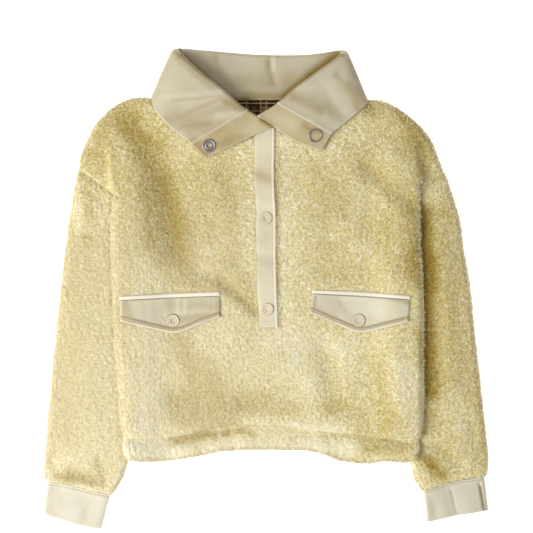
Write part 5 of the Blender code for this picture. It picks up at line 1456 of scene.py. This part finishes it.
def flap_top_height(flap_top, flap_edge):
    """Height function of a flap, from its two long lines."""
    def height(x, y):
        high = np.interp(x, np.asarray(flap_top)[:, 0], np.asarray(flap_top)[:, 1])
        low = np.interp(x, np.asarray(flap_edge)[:, 0], np.asarray(flap_edge)[:, 1])
        return flap_height(x, y, np.clip((high - y) / (high - low), 0, 1))
    return height


def fall_top(x, y):
    """Top of the collar's fall, from the nearest points of its sheet."""
    fall = collar_sheet(np.linspace(0, len(COLLAR) - 1, 260))[:, -56:].reshape(-1, 3)
    fall = fall[fall[:, 2] > 12]
    gaps = (fall[None, :, 0] - x[:, None]) ** 2 + (fall[None, :, 1] - y[:, None]) ** 2
    near = np.argsort(gaps, axis=1)[:, :4]
    return fall[near, 2].max(axis=1) + TWILL_DOUBLE / 2


# Name, x, y, radius, profile, height of the cloth, metal and slot
SNAPS = (
    ("snap_collar_left", -62.2, 155.7, 7.5, SOCKET_RING, fall_top, nickel, "snap_metal"),
    ("snap_collar_right", 54.5, 166.7, 7.7, OPEN_RING, fall_top, nickel, "snap_metal"),
    ("snap_placket_upper", *PLACKET_SNAPS[0], 6.4, PAINTED_RING, placket_height, painted, "snap_paint"),
    ("snap_placket_lower", *PLACKET_SNAPS[1], 6.4, PAINTED_RING, placket_height, painted, "snap_paint"),
    ("snap_flap_left", -101.8, -36.6, 6.9, PAINTED_RING,
     flap_top_height(LEFT_FLAP_TOP, LEFT_FLAP_EDGE), painted, "snap_paint"),
    ("snap_flap_right", 102.3, -36.2, 6.9, PAINTED_RING,
     flap_top_height(RIGHT_FLAP_TOP, RIGHT_FLAP_EDGE), painted, "snap_paint"),
)
for name, x0, y0, radius, profile, height, metal, slot in SNAPS:
    angles = np.linspace(0, 2 * math.pi, ROUND, endpoint=False)
    px = np.concatenate([[x0], x0 + radius * np.cos(angles), x0 + radius / 2 * np.cos(angles)])
    py = np.concatenate([[y0], y0 + radius * np.sin(angles), y0 + radius / 2 * np.sin(angles)])
    pz = height(px, py)
    system = np.column_stack([np.ones(len(px)), px - x0, py - y0])
    fit = np.linalg.lstsq(system, pz, rcond=None)[0]
    seat = fit[0] + 0.5 * np.max(pz - system @ fit) + 0.1
    up = np.array([-fit[1], -fit[2], 1]) / np.linalg.norm([fit[1], fit[2], 1])
    across = np.array([1, 0, fit[1]]) / np.linalg.norm([1, fit[1]])
    along = np.cross(up, across)
    spoke = np.cos(angles)[:, None] * across + np.sin(angles)[:, None] * along
    shares = np.asarray(profile)
    points = (np.array([x0, y0, seat]) + radius * shares[None, :, :1] * spoke[:, None, :]
              + shares[None, :, 1:] * up)
    size = len(profile)
    k, i = np.meshgrid(np.arange(ROUND), np.arange(size), indexing="ij")
    k_next, i_next = (k + 1) % ROUND, (i + 1) % size
    quads = np.stack([k * size + i, k_next * size + i, k_next * size + i_next, k * size + i_next], -1)
    ring = mesh_object(f"ring_{name}", points.reshape(-1, 3), [quads.reshape(-1, 4)])
    dressed(ring, metal, name)

# ======================================================================== surface, light, camera
# A plain pale table, a wide soft light from the lower left and an even fill, and a camera
# straight above, as for a catalogue picture of a folded-out garment.
FIELD = 586.3             # width of the field of view, mm
FIELD_LEVEL = 12          # height above the table at which it is that wide, mm
CAMERA_HEIGHT = 3000.0
FIELD_CENTRE = (1.1, 23.1)

bpy.ops.mesh.primitive_plane_add(size=12)
table_top = bpy.context.object
table_top.name = "table_top"
white_board = new_material("lit_acrylic_white", {"Base Color": srgb("#F6F6F5"), "Roughness": 0.9,
                                                 "Specular IOR Level": 0.1,
                                                 "Emission Color": srgb("#FFFFFF"),
                                                 "Emission Strength": 0.8})
table_top.data.materials.append(white_board)

lamp = bpy.data.lights.new("key_hem_left", "AREA")
lamp.shape = "SQUARE"
lamp.size = 1.0
lamp.energy = 28.5
lamp.color = srgb("#FFFDF8")[:3]
key_light = bpy.data.objects.new("key_hem_left", lamp)
key_light.location = (-1.25, -0.5, 1.0)
key_light.rotation_euler = (-key_light.location).to_track_quat("-Z", "Y").to_euler()
key_light.visible_camera = False
bpy.context.collection.objects.link(key_light)

world = bpy.data.worlds.new("even_white_room")
world.use_nodes = True
world.node_tree.nodes["Background"].inputs["Color"].default_value = (1, 1, 1, 1)
world.node_tree.nodes["Background"].inputs["Strength"].default_value = 0.54
bpy.context.scene.world = world
bpy.context.scene.view_settings.view_transform = "Standard"

camera = bpy.data.cameras.new("camera_above")
camera.sensor_width = 36
camera.lens = 36 * (CAMERA_HEIGHT - FIELD_LEVEL) / FIELD
viewer = bpy.data.objects.new("camera_above", camera)
viewer.location = ((FIELD_CENTRE[0] - BOX_MIDDLE[0]) * MM, (FIELD_CENTRE[1] - BOX_MIDDLE[1]) * MM,
                   CAMERA_HEIGHT * MM)
bpy.context.collection.objects.link(viewer)
bpy.context.scene.camera = viewer
